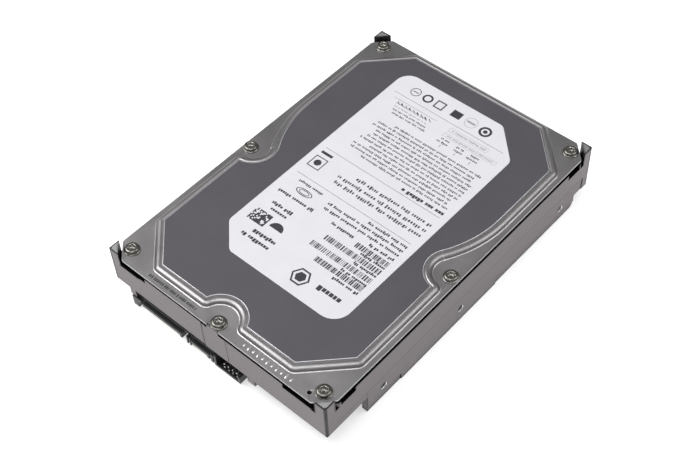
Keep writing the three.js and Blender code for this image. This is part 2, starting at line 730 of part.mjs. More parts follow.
function addBoard() {
  const edge = 42.6;
  const wide = 45.8;
  const far = 12;
  const motorR = 18.5;
  const notch = Math.asin((far - SPINDLE[1]) / motorR);
  const shape = new THREE.Shape();
  shape.moveTo(-wide, CONNECTOR_BACK_Y + 0.4);
  shape.lineTo(JUMPER_X[1] + 0.8, CONNECTOR_BACK_Y + 0.4);
  shape.lineTo(JUMPER_X[1] + 0.8, -68);
  shape.lineTo(wide, -68);
  shape.lineTo(wide, -54.2);
  shape.lineTo(edge, -54.2);
  shape.lineTo(edge, far - 6);
  shape.lineTo(edge - 6, far);
  shape.absarc(...SPINDLE, motorR, notch, -Math.PI - notch, true);
  shape.lineTo(6 - edge, far);
  shape.lineTo(-edge, far - 6);
  shape.lineTo(-edge, -54.2);
  shape.lineTo(-wide, -54.2);
  let board = prism(shape, BOARD_Z, 16);
  for (const place of BOARD_SCREWS) board = cut(board, rod(place, 1.5, [0, 4], 12));
  addPart("circuit_board", board, BOARD_GREEN);
  const boardScrew = screw(2.6, 0.9, 1.1, 5.4, 1.1, 12).rotateX(Math.PI);
  addScrews("board_screw", BOARD_SCREWS, BOARD_Z[0] - 0.02, boardScrew, NICKEL);
  const onBoard = (height) => [BOARD_Z[1] + GAP, BOARD_Z[1] + GAP + height];
  const chips = {
    controller_chip: [[-16, 4], [-44, -24], 1.3],
    motor_driver_chip: [[12, 22], [-26, -16], 1.2],
    cache_chip: [[-34, -22], [-38, -20], 1.1],
  };
  for (const [name, [x, y, height]] of Object.entries(chips))
    addPart(name, box(x, y, onBoard(height)), CHIP_BLACK);
  addPart("foam_pad", box([-40, 29], [-42, -2], [4.5, 6.1]), FOAM);
}

function addConnectors() {
  const mouth = -HALF_L;
  const [x0, x1] = SATA_X;
  const roof = CONNECTOR_Z[1] - 0.9;
  const tongue = [2.6, 4.1];
  const roofEdge = mouth + 1.2;
  const backWall = CONNECTOR_BACK_Y - 2;
  const divider = [-15.4, -14.5];
  let body = box(SATA_X, [mouth, CONNECTOR_BACK_Y], [0.9, roof + 0.1]);
  body = join(body, box(SATA_X, [roofEdge, CONNECTOR_BACK_Y], [roof, CONNECTOR_Z[1]]));
  // The two sockets, each open towards the cable, with a tongue standing in it.
  for (const x of [
    [-41, divider[0] - 0.6],
    [divider[1] + 0.5, x1 - 1.1],
  ]) {
    body = cut(body, box(x, [mouth - 1, backWall], [0, roof]));
    body = cut(body, box(x, [mouth - 1, roofEdge], [0, CONNECTOR_Z[1]]));
  }
  body = join(body, box([x0, x1], [backWall + 0.2, CONNECTOR_BACK_Y], [0.6, roof + 0.2]));
  body = join(body, box([x0, x0 + 2.7], [mouth, CONNECTOR_BACK_Y], [CONNECTOR_Z[0], roof]));
  body = join(body, box([x0 + 2.6, x0 + 4.4], [mouth, CONNECTOR_BACK_Y], [2.8, roof + 0.1]));
  // Each tongue has one end bent down, which keys the plug.
  for (const [start, end] of [POWER_TONGUE_X, DATA_TONGUE_X]) {
    body = join(body, box([start, end], [mouth, CONNECTOR_BACK_Y], tongue));
    body = join(body, box([end - 1.2, end], [mouth, CONNECTOR_BACK_Y], [1.5, tongue[1]]));
  }
  body = cut(body, box(divider, [mouth - 1, -70], [0, 7]));
  addPart("sata_connector", body, BLACK_PLASTIC);
  const [j0, j1] = JUMPER_X;
  const inside = CONNECTOR_BACK_Y - 1.6;
  // The tray is open upwards, with a lower wall on the side away from the sockets.
  const tray = cut(
    box(JUMPER_X, [mouth, CONNECTOR_BACK_Y], [0.4, 6]),
    box([j0 + 1, j1 - 1], [mouth - 1, inside], [1.2, 7]),
    box([j1 - 1.1, j1 + 1], [mouth - 1, inside], [3.8, 7]),
  );
  addPart("jumper_block", tray, BLACK_PLASTIC);
}

addEnclosure();
addSpindle();
addHeadStack();
addVoiceCoilMotor();
addLatch();
addFilters();
addBoard();
addConnectors();

export default drive;
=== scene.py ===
# The looks of a 3.5-inch hard disk drive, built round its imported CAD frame.
# Shapes are drawn in millimetres and turned into metres when a mesh is made.
import json
import math
import random

import bmesh
import bpy
from mathutils import Matrix, Vector
from mathutils.geometry import delaunay_2d_cdt


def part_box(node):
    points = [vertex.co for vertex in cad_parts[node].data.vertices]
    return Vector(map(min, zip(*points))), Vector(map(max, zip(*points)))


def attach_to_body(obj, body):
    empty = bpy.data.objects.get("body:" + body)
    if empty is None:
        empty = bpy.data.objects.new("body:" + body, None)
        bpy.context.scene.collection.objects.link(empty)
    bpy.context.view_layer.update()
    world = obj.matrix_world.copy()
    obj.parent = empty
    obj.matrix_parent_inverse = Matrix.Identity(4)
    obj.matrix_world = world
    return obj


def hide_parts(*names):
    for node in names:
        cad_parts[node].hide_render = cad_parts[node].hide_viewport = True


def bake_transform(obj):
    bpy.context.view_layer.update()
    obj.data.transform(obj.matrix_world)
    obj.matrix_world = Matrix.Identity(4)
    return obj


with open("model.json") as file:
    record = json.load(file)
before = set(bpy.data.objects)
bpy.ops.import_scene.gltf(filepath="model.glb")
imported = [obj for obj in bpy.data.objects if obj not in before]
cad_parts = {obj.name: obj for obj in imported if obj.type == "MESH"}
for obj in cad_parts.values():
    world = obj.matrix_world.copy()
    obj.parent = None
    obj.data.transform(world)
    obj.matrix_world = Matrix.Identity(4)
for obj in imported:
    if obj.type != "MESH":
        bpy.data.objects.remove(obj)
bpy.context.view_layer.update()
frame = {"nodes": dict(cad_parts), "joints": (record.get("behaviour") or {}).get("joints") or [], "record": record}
MM = 0.001
NODES = frame["nodes"]


def box_mm(node):
    low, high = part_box(node)
    return low / MM, high / MM


# ---- Camera, lights and floor ----

TARGET_HEIGHT = 13.05 * MM
CAMERA_AZIMUTH = math.radians(43.404)
CAMERA_ELEVATION = math.radians(50.433)
CAMERA_ROLL = math.radians(-2.724)
CAMERA_DISTANCE = 448.99 * MM
CAMERA_SIDE = -2.894 * MM
CAMERA_RISE = -4.968 * MM
CAMERA_LENS = 63.08


def add_camera():
    az, el, roll = CAMERA_AZIMUTH, CAMERA_ELEVATION, CAMERA_ROLL
    back = Vector((math.sin(az) * math.cos(el), -math.cos(az) * math.cos(el), math.sin(el)))
    level_right = (-back).cross(Vector((0, 0, 1))).normalized()
    level_up = level_right.cross(-back)
    right = math.cos(roll) * level_right + math.sin(roll) * level_up
    up = -math.sin(roll) * level_right + math.cos(roll) * level_up
    target = Vector((0, 0, TARGET_HEIGHT))
    place = target + back * CAMERA_DISTANCE + right * CAMERA_SIDE + up * CAMERA_RISE
    data = bpy.data.cameras.new("camera")
    data.lens = CAMERA_LENS
    data.sensor_width = 36
    data.clip_start = 0.01
    camera = bpy.data.objects.new("camera", data)
    camera.matrix_world = Matrix.Translation(place) @ Matrix((right, up, back)).transposed().to_4x4()
    bpy.context.scene.collection.objects.link(camera)
    bpy.context.scene.camera = camera


def add_softbox(name, place, target, size, power, colour=(1, 1, 1)):
    data = bpy.data.lights.new(name, "AREA")
    data.shape = "RECTANGLE"
    data.size, data.size_y = size
    data.energy = power
    data.color = colour
    light = bpy.data.objects.new(name, data)
    direction = Vector(target) - Vector(place)
    light.location = place
    light.rotation_euler = direction.to_track_quat("-Z", "Y").to_euler()
    bpy.context.scene.collection.objects.link(light)


def add_world():
    """A dark room at the horizon, and a soft grey ceiling that is lighter overhead."""
    world = bpy.data.worlds.new("studio")
    world.use_nodes = True
    tree = world.node_tree
    tree.nodes.clear()
    coords = tree.nodes.new("ShaderNodeTexCoord")
    split = tree.nodes.new("ShaderNodeSeparateXYZ")
    ramp = tree.nodes.new("ShaderNodeValToRGB")
    sky = tree.nodes.new("ShaderNodeBackground")
    out = tree.nodes.new("ShaderNodeOutputWorld")
    steps = [(0.0, 0.5), (0.1, 0.28), (0.4, 0.2), (0.6, 0.34), (0.88, 0.36), (0.96, 0.9)]
    while len(ramp.color_ramp.elements) < len(steps):
        ramp.color_ramp.elements.new(0.5)
    for element, (place, level) in zip(ramp.color_ramp.elements, steps):
        element.position = place
        element.color = (level, level * 0.99, level * 1.01, 1)
    tree.links.new(coords.outputs["Generated"], split.inputs[0])
    tree.links.new(split.outputs["Z"], ramp.inputs[0])
    tree.links.new(ramp.outputs[0], sky.inputs["Color"])
    tree.links.new(sky.outputs[0], out.inputs[0])
    bpy.context.scene.world = world


def add_lights():
    """Softboxes, each as (compass direction, height angle, distance, size, power)."""
    boxes = {
        "front_left": (205, 50, 1.0, (0.6, 0.5), 4.8),
        "overhead": (280, 76, 1.1, (0.5, 0.5), 2.2),
        "right": (45, 52, 1.0, (0.5, 0.5), 1.8),
    }
    for name, (turn, rise, distance, size, power) in boxes.items():
        a, e = math.radians(turn), math.radians(rise)
        place = Vector((math.cos(a) * math.cos(e), math.sin(a) * math.cos(e), math.sin(e))) * distance
        add_softbox(name, place, (0, 0, TARGET_HEIGHT), size, power)


# ---- Materials ----


class Shader:
    """A node material, with short calls for the nodes it is made of."""

    def __init__(self, name):
        self.material = bpy.data.materials.new(name)
        self.material.use_nodes = True
        self.tree = self.material.node_tree
        self.surface = self.tree.nodes["Principled BSDF"]
        self.place = self.new("ShaderNodeTexCoord").outputs["Object"]

    def new(self, kind, **settings):
        node = self.tree.nodes.new(kind)
        for key, value in settings.items():
            setattr(node, key, value)
        return node

    def feed(self, node, socket, value):
        if isinstance(value, bpy.types.NodeSocket):
            self.tree.links.new(value, node.inputs[socket])
        else:
            node.inputs[socket].default_value = value

    def stretched(self, scale):
        node = self.new("ShaderNodeMapping")
        self.feed(node, "Vector", self.place)
        self.feed(node, "Scale", scale)
        return node.outputs[0]

    def noise(self, size_mm, detail=3, roughness=0.55, stretch=None):
        """Noise whose features are about size_mm across."""
        node = self.new("ShaderNodeTexNoise")
        self.feed(node, "Vector", self.stretched(stretch) if stretch else self.place)
        self.feed(node, "Scale", 1 / (size_mm * MM))
        self.feed(node, "Detail", detail)
        self.feed(node, "Roughness", roughness)
        return node.outputs["Fac"]

    def remap(self, value, low, high, to_low=0.0, to_high=1.0):
        node = self.new("ShaderNodeMapRange")
        for socket, v in zip(("Value", "From Min", "From Max", "To Min", "To Max"),
                             (value, low, high, to_low, to_high)):
            self.feed(node, socket, v)
        return node.outputs[0]

    def math(self, operation, a, b=0.5):
        node = self.new("ShaderNodeMath", operation=operation)
        self.feed(node, 0, a)
        self.feed(node, 1, b)
        return node.outputs[0]

    def times(self, a, b):
        return self.math("MULTIPLY", a, b)

    def spread(self, noise, to_low=0.0, to_high=1.0):
        """Noise, which keeps mostly within 0.3 to 0.7, stretched over a range."""
        return self.remap(noise, 0.3, 0.7, to_low, to_high)

    def clouded(self, noise, colour, darkest, lightest):
        return self.mix(self.spread(noise), shade(colour, darkest), shade(colour, lightest))

    def mix(self, factor, a, b):
        node = self.new("ShaderNodeMix", data_type="RGBA")
        self.feed(node, 0, factor)
        self.feed(node, 6, a)
        self.feed(node, 7, b)
        return node.outputs[2]

    def edges(self, radius_mm):
        """1 on edges sharper than radius_mm, 0 on flat faces."""
        bevel = self.new("ShaderNodeBevel", samples=4)
        self.feed(bevel, "Radius", radius_mm * MM)
        flat = self.new("ShaderNodeNewGeometry")
        dot = self.new("ShaderNodeVectorMath", operation="DOT_PRODUCT")
        self.feed(dot, 0, bevel.outputs[0])
        self.feed(dot, 1, flat.outputs["True Normal"])
        return self.remap(dot.outputs["Value"], 0.992, 0.972)

    def facing_up(self):
        """1 on faces that look straight up, 0 on the rest."""
        split = self.new("ShaderNodeSeparateXYZ")
        self.feed(split, 0, self.new("ShaderNodeNewGeometry").outputs["Normal"])
        return self.remap(split.outputs["Z"], 0.95, 0.99)

    def axis(self, name):
        split = self.new("ShaderNodeSeparateXYZ")
        self.feed(split, 0, self.place)
        return split.outputs[name]

    def above(self, height_mm):
        return self.math("GREATER_THAN", self.axis("Z"), height_mm * MM)

    def painted_crevice_shade(self, reach_mm):
        """Painted shade: 0 deep in gaps and slots, where shade falls, and 1 in the open."""
        open_sky = self.new("ShaderNodeAmbientOcclusion", samples=6)
        self.feed(open_sky, "Distance", reach_mm * MM)
        return self.remap(open_sky.outputs["AO"], 0.45, 0.85)

    def bump(self, height, depth_mm, strength=1.0, before=None):
        node = self.new("ShaderNodeBump")
        self.feed(node, "Height", height)
        self.feed(node, "Distance", depth_mm * MM)
        self.feed(node, "Strength", strength)
        if before is not None:
            self.feed(node, "Normal", before)
        return node.outputs[0]

    def finish(self, colour, roughness, metallic, normal=None, **constants):
        self.feed(self.surface, "Base Color", colour)
        self.feed(self.surface, "Roughness", roughness)
        self.feed(self.surface, "Metallic", metallic)
        if normal is not None:
            self.feed(self.surface, "Normal", normal)
        for socket, value in constants.items():
            self.surface.inputs[socket.replace("_", " ")].default_value = value
        return self.material


def rgb(r, g=None, b=None):
    return (r, r if g is None else g, r if b is None else b, 1)


def shade(colour, factor):
    return tuple(c * factor for c in colour[:3]) + (1,)


def worn_metal(name, colour, roughness, metallic=1.0, grain=0.25, depth=0.004, spread=0.12, wear=None,
               wear_mm=0.25, stretch=None, cloud=12):
    """Metal with a cloudy tone, a fine grain and, where asked, brighter edges."""
    s = Shader(name)
    tone = s.noise(cloud, detail=4)
    fine = s.noise(grain, detail=2, stretch=stretch)
    tinted = s.clouded(tone, colour, 1 - spread, 1 + spread)
    tinted = s.mix(s.times(fine, 0.35), tinted, shade(colour, 0.72))
    rough = s.math("ADD", s.spread(tone, roughness - 0.04, roughness + 0.05),
                   s.spread(fine, -0.04, 0.05))
    if wear is not None:
        edge_wear_and_painted_light = s.times(s.edges(wear_mm), s.remap(s.noise(1.6), 0.25, 0.6, 0.35, 1))
        tinted = s.mix(edge_wear_and_painted_light, tinted, wear)
    return s.finish(tinted, rough, metallic, s.bump(fine, depth))


# Heights on the casting: its rim, the top of the milled lower side, and what lies under the cover.
RIM = 22.5
MILLED_TOP = 12.3
LOWEST_SLOT = 19
UNDER_FLANGE = 23


def cast_aluminium():
    s = Shader("cast_aluminium")
    colour = rgb(0.18, 0.163, 0.167)
    cloud = s.noise(9, detail=5)
    sand = s.noise(0.35, detail=3, roughness=0.7)
    flow = s.noise(2.2, detail=2)
    tinted = s.clouded(cloud, colour, 0.88, 1.1)
    tinted = s.mix(s.remap(sand, 0.55, 0.8, 0, 0.4), tinted, shade(colour, 0.6))
    half_w, half_l, top = box_mm("base_casting")[1]
    x, y = (s.math("ABSOLUTE", s.axis(name)) for name in "XY")

    def past(value, limit_mm):
        return s.math("GREATER_THAN", value, limit_mm * MM)

    def between(low_mm, high_mm):
        return s.math("SUBTRACT", s.above(low_mm), s.above(high_mm))

    milled = s.times(s.facing_up(), s.above(top - 0.4))
    tinted = s.mix(milled, tinted, rgb(0.4, 0.4, 0.405))
    # Painted dark reflection along the sharp edges, broken up by noise.
    edge_wear_and_painted_light = s.times(s.edges(0.75), s.remap(s.noise(1.3), 0.3, 0.6, 0.7, 1))
    tinted = s.mix(edge_wear_and_painted_light, tinted, rgb(0.025, 0.023, 0.025))
    # The vertical corners and the outer edges of the posts' tops are darkened: a painted dark reflection.
    corner = s.times(past(x, half_w - 0.8), past(y, half_l - 1))
    outer = s.math("MAXIMUM", past(x, half_w - 0.4), past(y, half_l - 0.55))
    corner = s.math("MAXIMUM", corner, s.times(outer, s.above(top - 0.4)))
    tinted = s.mix(s.times(corner, 0.9), tinted, rgb(0.02))
    # Painted shade: the rim and the slots under the cover's edge are made near black.
    shelf = s.times(s.facing_up(), between(LOWEST_SLOT, UNDER_FLANGE))
    tinted = s.mix(shelf, tinted, rgb(0.004))
    # Painted shade along the sides: the rim's edge under the cover is dark, and a painted shadow line marks where
    # the milled face begins.
    bands = s.math("ADD", between(RIM - 0.45, UNDER_FLANGE), between(MILLED_TOP - 0.12, MILLED_TOP + 0.1))
    flank = s.times(past(x, half_w - 0.5), s.math("LESS_THAN", y, (half_l - 5) * MM))
    tinted = s.mix(s.times(s.times(bands, flank), 0.8), tinted, rgb(0.01))
    # Painted shade: gaps and slots darken the deeper they are.
    tinted = s.mix(s.painted_crevice_shade(3), rgb(0.003), tinted)
    rough = s.math("ADD", s.spread(cloud, 0.4, 0.5), s.spread(sand, -0.05, 0.07))
    normal = s.bump(flow, 0.03, 0.5, s.bump(sand, 0.012, 0.6))
    return s.finish(tinted, rough, 0.85, normal)


def cut_thread():
    """Bright cut aluminium, with painted shade that darkens it deeper in the hole."""
    s = Shader("cut_thread")
    tone = s.noise(0.8, detail=3)
    tinted = s.mix(s.spread(tone), rgb(0.8, 0.8, 0.81), rgb(0.95, 0.95, 0.96))
    # Painted shade: darker deeper in the hole.
    tinted = s.mix(s.painted_crevice_shade(2.2), rgb(0.02), tinted)
    return s.finish(tinted, s.spread(tone, 0.22, 0.34), 0.8, s.bump(tone, 0.01, 0.4))


def stamped_steel():
    s = Shader("stamped_steel")
    colour = rgb(0.335, 0.327, 0.329)
    cloud = s.noise(14, detail=4)
    rolled = s.noise(1.4, detail=4, stretch=(1, 0.4, 1))
    speck = s.noise(0.22, detail=2)
    tinted = s.clouded(cloud, colour, 0.9, 1.1)
    tinted = s.mix(s.remap(speck, 0.5, 0.8, 0, 0.35), tinted, shade(colour, 0.7))
    # Lighter sharp edges: partly rubbed metal, partly a painted highlight along the cover's edge.
    edge_wear_and_painted_light = s.times(s.edges(0.2), s.remap(s.noise(2.5), 0.2, 0.5, 0.5, 1))
    tinted = s.mix(edge_wear_and_painted_light, tinted, rgb(0.74, 0.73, 0.71))
    rough = s.math("ADD", s.spread(cloud, 0.33, 0.39), s.spread(rolled, -0.02, 0.03))
    normal = s.bump(rolled, 0.004, 0.35, s.bump(speck, 0.002, 0.5))
    return s.finish(tinted, rough, 0.95, normal)


def dark_sheet():
    s = Shader("dark_sheet")
    colour = rgb(0.109, 0.104, 0.118)
    cloud = s.noise(20, detail=4)
    blotch = s.noise(3.5, detail=5, roughness=0.65)
    speck = s.noise(0.28, detail=2)
    tinted = s.clouded(cloud, colour, 0.94, 1.06)
    tinted = s.mix(s.remap(blotch, 0.5, 0.8, 0, 0.15), tinted, shade(colour, 0.85))
    tinted = s.mix(s.remap(speck, 0.6, 0.8, 0, 0.3), tinted, shade(colour, 0.75))
    edge_wear_and_painted_light = s.times(s.edges(0.12), s.remap(s.noise(3), 0.2, 0.5, 0.4, 1))
    tinted = s.mix(edge_wear_and_painted_light, tinted, rgb(0.5, 0.5, 0.51))
    rough = s.math("ADD", s.spread(blotch, 0.44, 0.5), s.spread(speck, -0.03, 0.04))
    return s.finish(tinted, rough, 0.35, s.bump(speck, 0.0025, 0.5))


def label_paper():
    s = Shader("label_paper")
    cloud = s.noise(8, detail=3)
    fibre = s.noise(0.18, detail=3, stretch=(1, 0.3, 1))
    tinted = s.mix(s.spread(cloud), rgb(0.77, 0.765, 0.8), rgb(0.8, 0.795, 0.83))
    rough = s.spread(fibre, 0.42, 0.55)
    return s.finish(tinted, rough, 0.0, s.bump(fibre, 0.002, 0.5), Specular_IOR_Level=0.4)


def print_ink():
    s = Shader("print_ink")
    patchy = s.noise(0.4, detail=2)
    tinted = s.mix(s.remap(patchy, 0.3, 0.75), rgb(0.025, 0.025, 0.03), rgb(0.06, 0.06, 0.068))
    return s.finish(tinted, s.spread(patchy, 0.45, 0.6), 0.0, s.bump(patchy, 0.001, 0.4))


def grey_ink():
    s = Shader("grey_ink")
    patchy = s.noise(0.4, detail=2)
    tinted = s.mix(s.remap(patchy, 0.3, 0.75), rgb(0.33, 0.33, 0.36), rgb(0.45, 0.45, 0.48))
    return s.finish(tinted, s.spread(patchy, 0.45, 0.6), 0.0)


def moulded(name, colour, roughness, grain=0.12, depth=0.006, edge=None):
    """Moulded plastic or rubber with a fine eroded grain."""
    s = Shader(name)
    tone = s.noise(5, detail=3)
    fine = s.noise(grain, detail=3, roughness=0.6)
    tinted = s.clouded(tone, colour, 0.8, 1.25)
    if edge is not None:
        tinted = s.mix(s.times(s.edges(0.2), 0.8), tinted, edge)
    rough = s.math("ADD", s.spread(tone, roughness - 0.06, roughness + 0.05),
                   s.spread(fine, -0.04, 0.04))
    return s.finish(tinted, rough, 0.0, s.bump(fine, depth, 0.7))


def turned_metal(name, colour, roughness, centre, groove_mm=0.35, depth=0.0015):
    """Metal with fine lathe rings round a vertical axis through centre."""
    s = Shader(name)
    shift = s.new("ShaderNodeMapping")
    s.feed(shift, "Vector", s.place)
    s.feed(shift, "Location", (-centre[0] * MM, -centre[1] * MM, 0))
    s.feed(shift, "Scale", (1, 1, 0))
    radius = s.new("ShaderNodeVectorMath", operation="LENGTH")
    s.feed(radius, 0, shift.outputs[0])
    turns = s.times(radius.outputs["Value"], 2 * math.pi / (groove_mm * MM))
    rings = s.math("SINE", turns)
    tone = s.noise(6, detail=3)
    tinted = s.clouded(tone, colour, 0.9, 1.08)
    tinted = s.mix(s.remap(rings, -1, 1, 0, 0.12), tinted, shade(colour, 0.6))
    edge_wear_and_painted_light = s.times(s.edges(0.2), 0.7)
    tinted = s.mix(edge_wear_and_painted_light, tinted, shade(colour, 1.3))
    rough = s.math("ADD", s.spread(tone, roughness - 0.03, roughness + 0.05),
                   s.remap(rings, -1, 1, -0.02, 0.03))
    return s.finish(tinted, rough, 1.0, s.bump(rings, depth, 0.5))


def solder_mask():
    s = Shader("solder_mask")
    tone = s.noise(9, detail=3)
    weave = s.noise(0.5, detail=2, stretch=(1, 0.35, 1))
    tinted = s.mix(s.spread(tone), rgb(0.012, 0.075, 0.042), rgb(0.02, 0.105, 0.058))
    tinted = s.mix(s.remap(weave, 0.5, 0.8, 0, 0.3), tinted, rgb(0.008, 0.05, 0.03))
    edge_wear_and_painted_light = s.times(s.edges(0.25), 0.8)
    tinted = s.mix(edge_wear_and_painted_light, tinted, rgb(0.36, 0.33, 0.2))
    rough = s.spread(tone, 0.3, 0.4)
    return s.finish(tinted, rough, 0.0, s.bump(weave, 0.004, 0.4), Coat_Weight=0.25)


MAT = {}


def make_materials():
    spindle = joint_place("spindle_spin")
    MAT.update({
        "cast_aluminium": cast_aluminium(),
        "cut_thread": cut_thread(),
        "stamped_steel": stamped_steel(),
        "dark_sheet": dark_sheet(),
        "label_paper": label_paper(),
        "print_ink": print_ink(),
        "grey_ink": grey_ink(),
        "nickel_fastener": worn_metal("nickel_fastener", rgb(0.19, 0.185, 0.165), 0.24, grain=0.15,
                                      depth=0.0006, wear=rgb(0.42, 0.41, 0.385), wear_mm=0.12, cloud=3),
        "gasket_rubber": moulded("gasket_rubber", rgb(0.012), 0.85, 0.2, 0.01),
        "connector_plastic": moulded("connector_plastic", rgb(0.018, 0.018, 0.02), 0.42, 0.1, 0.004,
                                     edge=rgb(0.1, 0.1, 0.105)),
        "platter_mirror": turned_metal("platter_mirror", rgb(0.78, 0.79, 0.8), 0.06, spindle, 0.2, 0.0001),
        "machined_aluminium": turned_metal("machined_aluminium", rgb(0.6, 0.6, 0.61), 0.28, spindle),
        "stainless": worn_metal("stainless", rgb(0.55, 0.55, 0.54), 0.26, grain=0.2, depth=0.001),
        "copper_winding": worn_metal("copper_winding", rgb(0.55, 0.2, 0.08), 0.32, grain=0.25,
                                     depth=0.02, stretch=(1, 1, 4)),
        "motor_lamination": worn_metal("motor_lamination", rgb(0.13), 0.45, grain=0.3, depth=0.01,
                                       stretch=(0.1, 0.1, 3)),
        "magnet_plating": worn_metal("magnet_plating", rgb(0.45, 0.45, 0.47), 0.24, grain=0.3),
        "polyimide_film": moulded("polyimide_film", rgb(0.42, 0.2, 0.035), 0.35, 0.4, 0.002),
        "circuit_board": solder_mask(),
        "chip_package": moulded("chip_package", rgb(0.022, 0.022, 0.024), 0.55, 0.15, 0.006),
        "filter_fabric": moulded("filter_fabric", rgb(0.72, 0.7, 0.64), 0.95, 0.25, 0.06),
        "foam": moulded("foam", rgb(0.025, 0.025, 0.028), 0.97, 0.6, 0.15),
        "sheared_edge": worn_metal("sheared_edge", rgb(0.84, 0.84, 0.86), 0.34, 0.5, grain=0.2, cloud=2),
        "gold": worn_metal("gold", rgb(0.83, 0.6, 0.24), 0.22, grain=0.12, depth=0.001),
        "covered_copper": moulded("covered_copper", rgb(0.03, 0.16, 0.085), 0.32, 0.4, 0.002),
        "solder": worn_metal("solder", rgb(0.62, 0.62, 0.6), 0.25, grain=0.3, depth=0.004),
    })


def joint_place(name):
    joint = next(j for j in frame["joints"] if j["name"] == name)
    return Vector(joint["pos_m"]) / MM


# ---- Mesh helpers ----


def soften(piece, width_mm, segments=2, angle=35):
    """Rounds the sharp edges and keeps the flat faces flat in the shading."""
    bevel = piece.modifiers.new("round_edges", "BEVEL")
    bevel.width = width_mm * MM
    bevel.segments = segments
    bevel.limit_method = "ANGLE"
    bevel.angle_limit = math.radians(angle)
    bevel.use_clamp_overlap = True
    bevel.miter_outer = "MITER_ARC"
    weighted = piece.modifiers.new("flat_shading", "WEIGHTED_NORMAL")
    weighted.keep_sharp = True
    weighted.weight = 50
    return piece


def attach(piece, slot, *replaced, body="chassis"):
    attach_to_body(piece, body)
    if replaced:
        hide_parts(*replaced)
    return piece


class Shape:
    """Vertices and faces gathered for one mesh."""

    def __init__(self):
        self.vertices = []
        self.faces = []

    def ring(self, points):
        start = len(self.vertices)
        self.vertices.extend(points)
        return list(range(start, start + len(points)))

    def bridge(self, first, second):
        n = len(first)
        for i in range(n):
            j = (i + 1) % n
            self.faces.append((first[i], first[j], second[j], second[i]))

    def cap(self, ring):
        self.faces.append(tuple(ring))

    def slab(self, outline, low, high):
        """A closed prism on an outline of (x, y) points."""
        self.loft([self.ring([(x, y, z) for x, y in outline]) for z in (low, high)])

    def block(self, x, y, z):
        self.slab([(x[0], y[0]), (x[1], y[0]), (x[1], y[1]), (x[0], y[1])], *z)

    def loft(self, rings, capped=True):
        """Rings joined one to the next, with both ends closed where capped."""
        for a, b in zip(rings, rings[1:]):
            self.bridge(a, b)
        if capped:
            self.cap(rings[0][::-1])
            self.cap(rings[-1])

    def hoop(self, rings):
        """Rings joined one to the next and the last to the first, which closes the surface."""
        for a, b in zip(rings, rings[1:] + rings[:1]):
            self.bridge(a, b)

    def make(self, name, material, smooth=True):
        """A mesh object, its millimetres turned into metres and its faces all turned outwards."""
        mesh = bpy.data.meshes.new(name)
        mesh.from_pydata([Vector(v) * MM for v in self.vertices], [], self.faces)
        mesh.validate()
        mesh.materials.append(MAT[material])
        work = bmesh.new()
        work.from_mesh(mesh)
        bmesh.ops.recalc_face_normals(work, faces=work.faces)
        work.to_mesh(mesh)
        work.free()
        if smooth:
            mesh.shade_smooth()
        piece = bpy.data.objects.new(name, mesh)
        bpy.context.scene.collection.objects.link(piece)
        return piece


def circle(centre, radius, count, z=None):
    points = []
    for i in range(count):
        a = 2 * math.pi * i / count
        p = (centre[0] + radius * math.cos(a), centre[1] + radius * math.sin(a))
        points.append(p if z is None else (*p, z))
    return points


def rounded_polygon(corners, steps=6):
    """The outline of a polygon of (x, y, radius) corners, with each corner rounded."""
    points = []
    n = len(corners)
    for i, (x, y, r) in enumerate(corners):
        here = Vector((x, y))
        before = (Vector(corners[i - 1][:2]) - here).normalized()
        after = (Vector(corners[(i + 1) % n][:2]) - here).normalized()
        if r <= 0:
            points.append((x, y))
            continue
        half = before.angle(after) / 2
        middle = here + (before + after).normalized() * (r / math.sin(half))
        start = here + before * (r / math.tan(half)) - middle
        turn = start.angle_signed(here + after * (r / math.tan(half)) - middle)
        for k in range(steps + 1):
            a = -turn * k / steps
            c, s = math.cos(a), math.sin(a)
            points.append((middle.x + c * start.x - s * start.y, middle.y + s * start.x + c * start.y))
    return points


def rounded_box(x, y, radius, steps=6):
    corners = [(x[0], y[0]), (x[1], y[0]), (x[1], y[1]), (x[0], y[1])]
    return rounded_polygon([(*p, radius) for p in corners], steps)


# ---- Cover ----

FLANGE_TOP = 24.4
LEDGE_TOP = 25.46
SHEET = 0.6


def ridge_profile():
    """The ridge round the damping plate, from foot to ledge, as (distance out from the plate, height)."""
    rows = [(3.35, FLANGE_TOP), (3.3, 24.44), (3.2, 24.48), (3.06, 24.51)]
    crest_at, crest_z, outer_r, inner_r = 1.15, 25.64, 2.4, 0.8
    for tilt in (58, 52, 44, 36, 29, 22, 15, 8, 0):
        a = math.radians(tilt)
        rows.append((crest_at + outer_r * math.sin(a) * 0.88, crest_z - outer_r * (1 - math.cos(a)) * 0.88))
    for tilt in (10, 20, 30):
        a = math.radians(tilt)
        rows.append((crest_at - inner_r * math.sin(a), crest_z - inner_r * (1 - math.cos(a))))
    return rows + [(0.66, LEDGE_TOP + 0.02), (0.55, LEDGE_TOP), (0.1, LEDGE_TOP)]


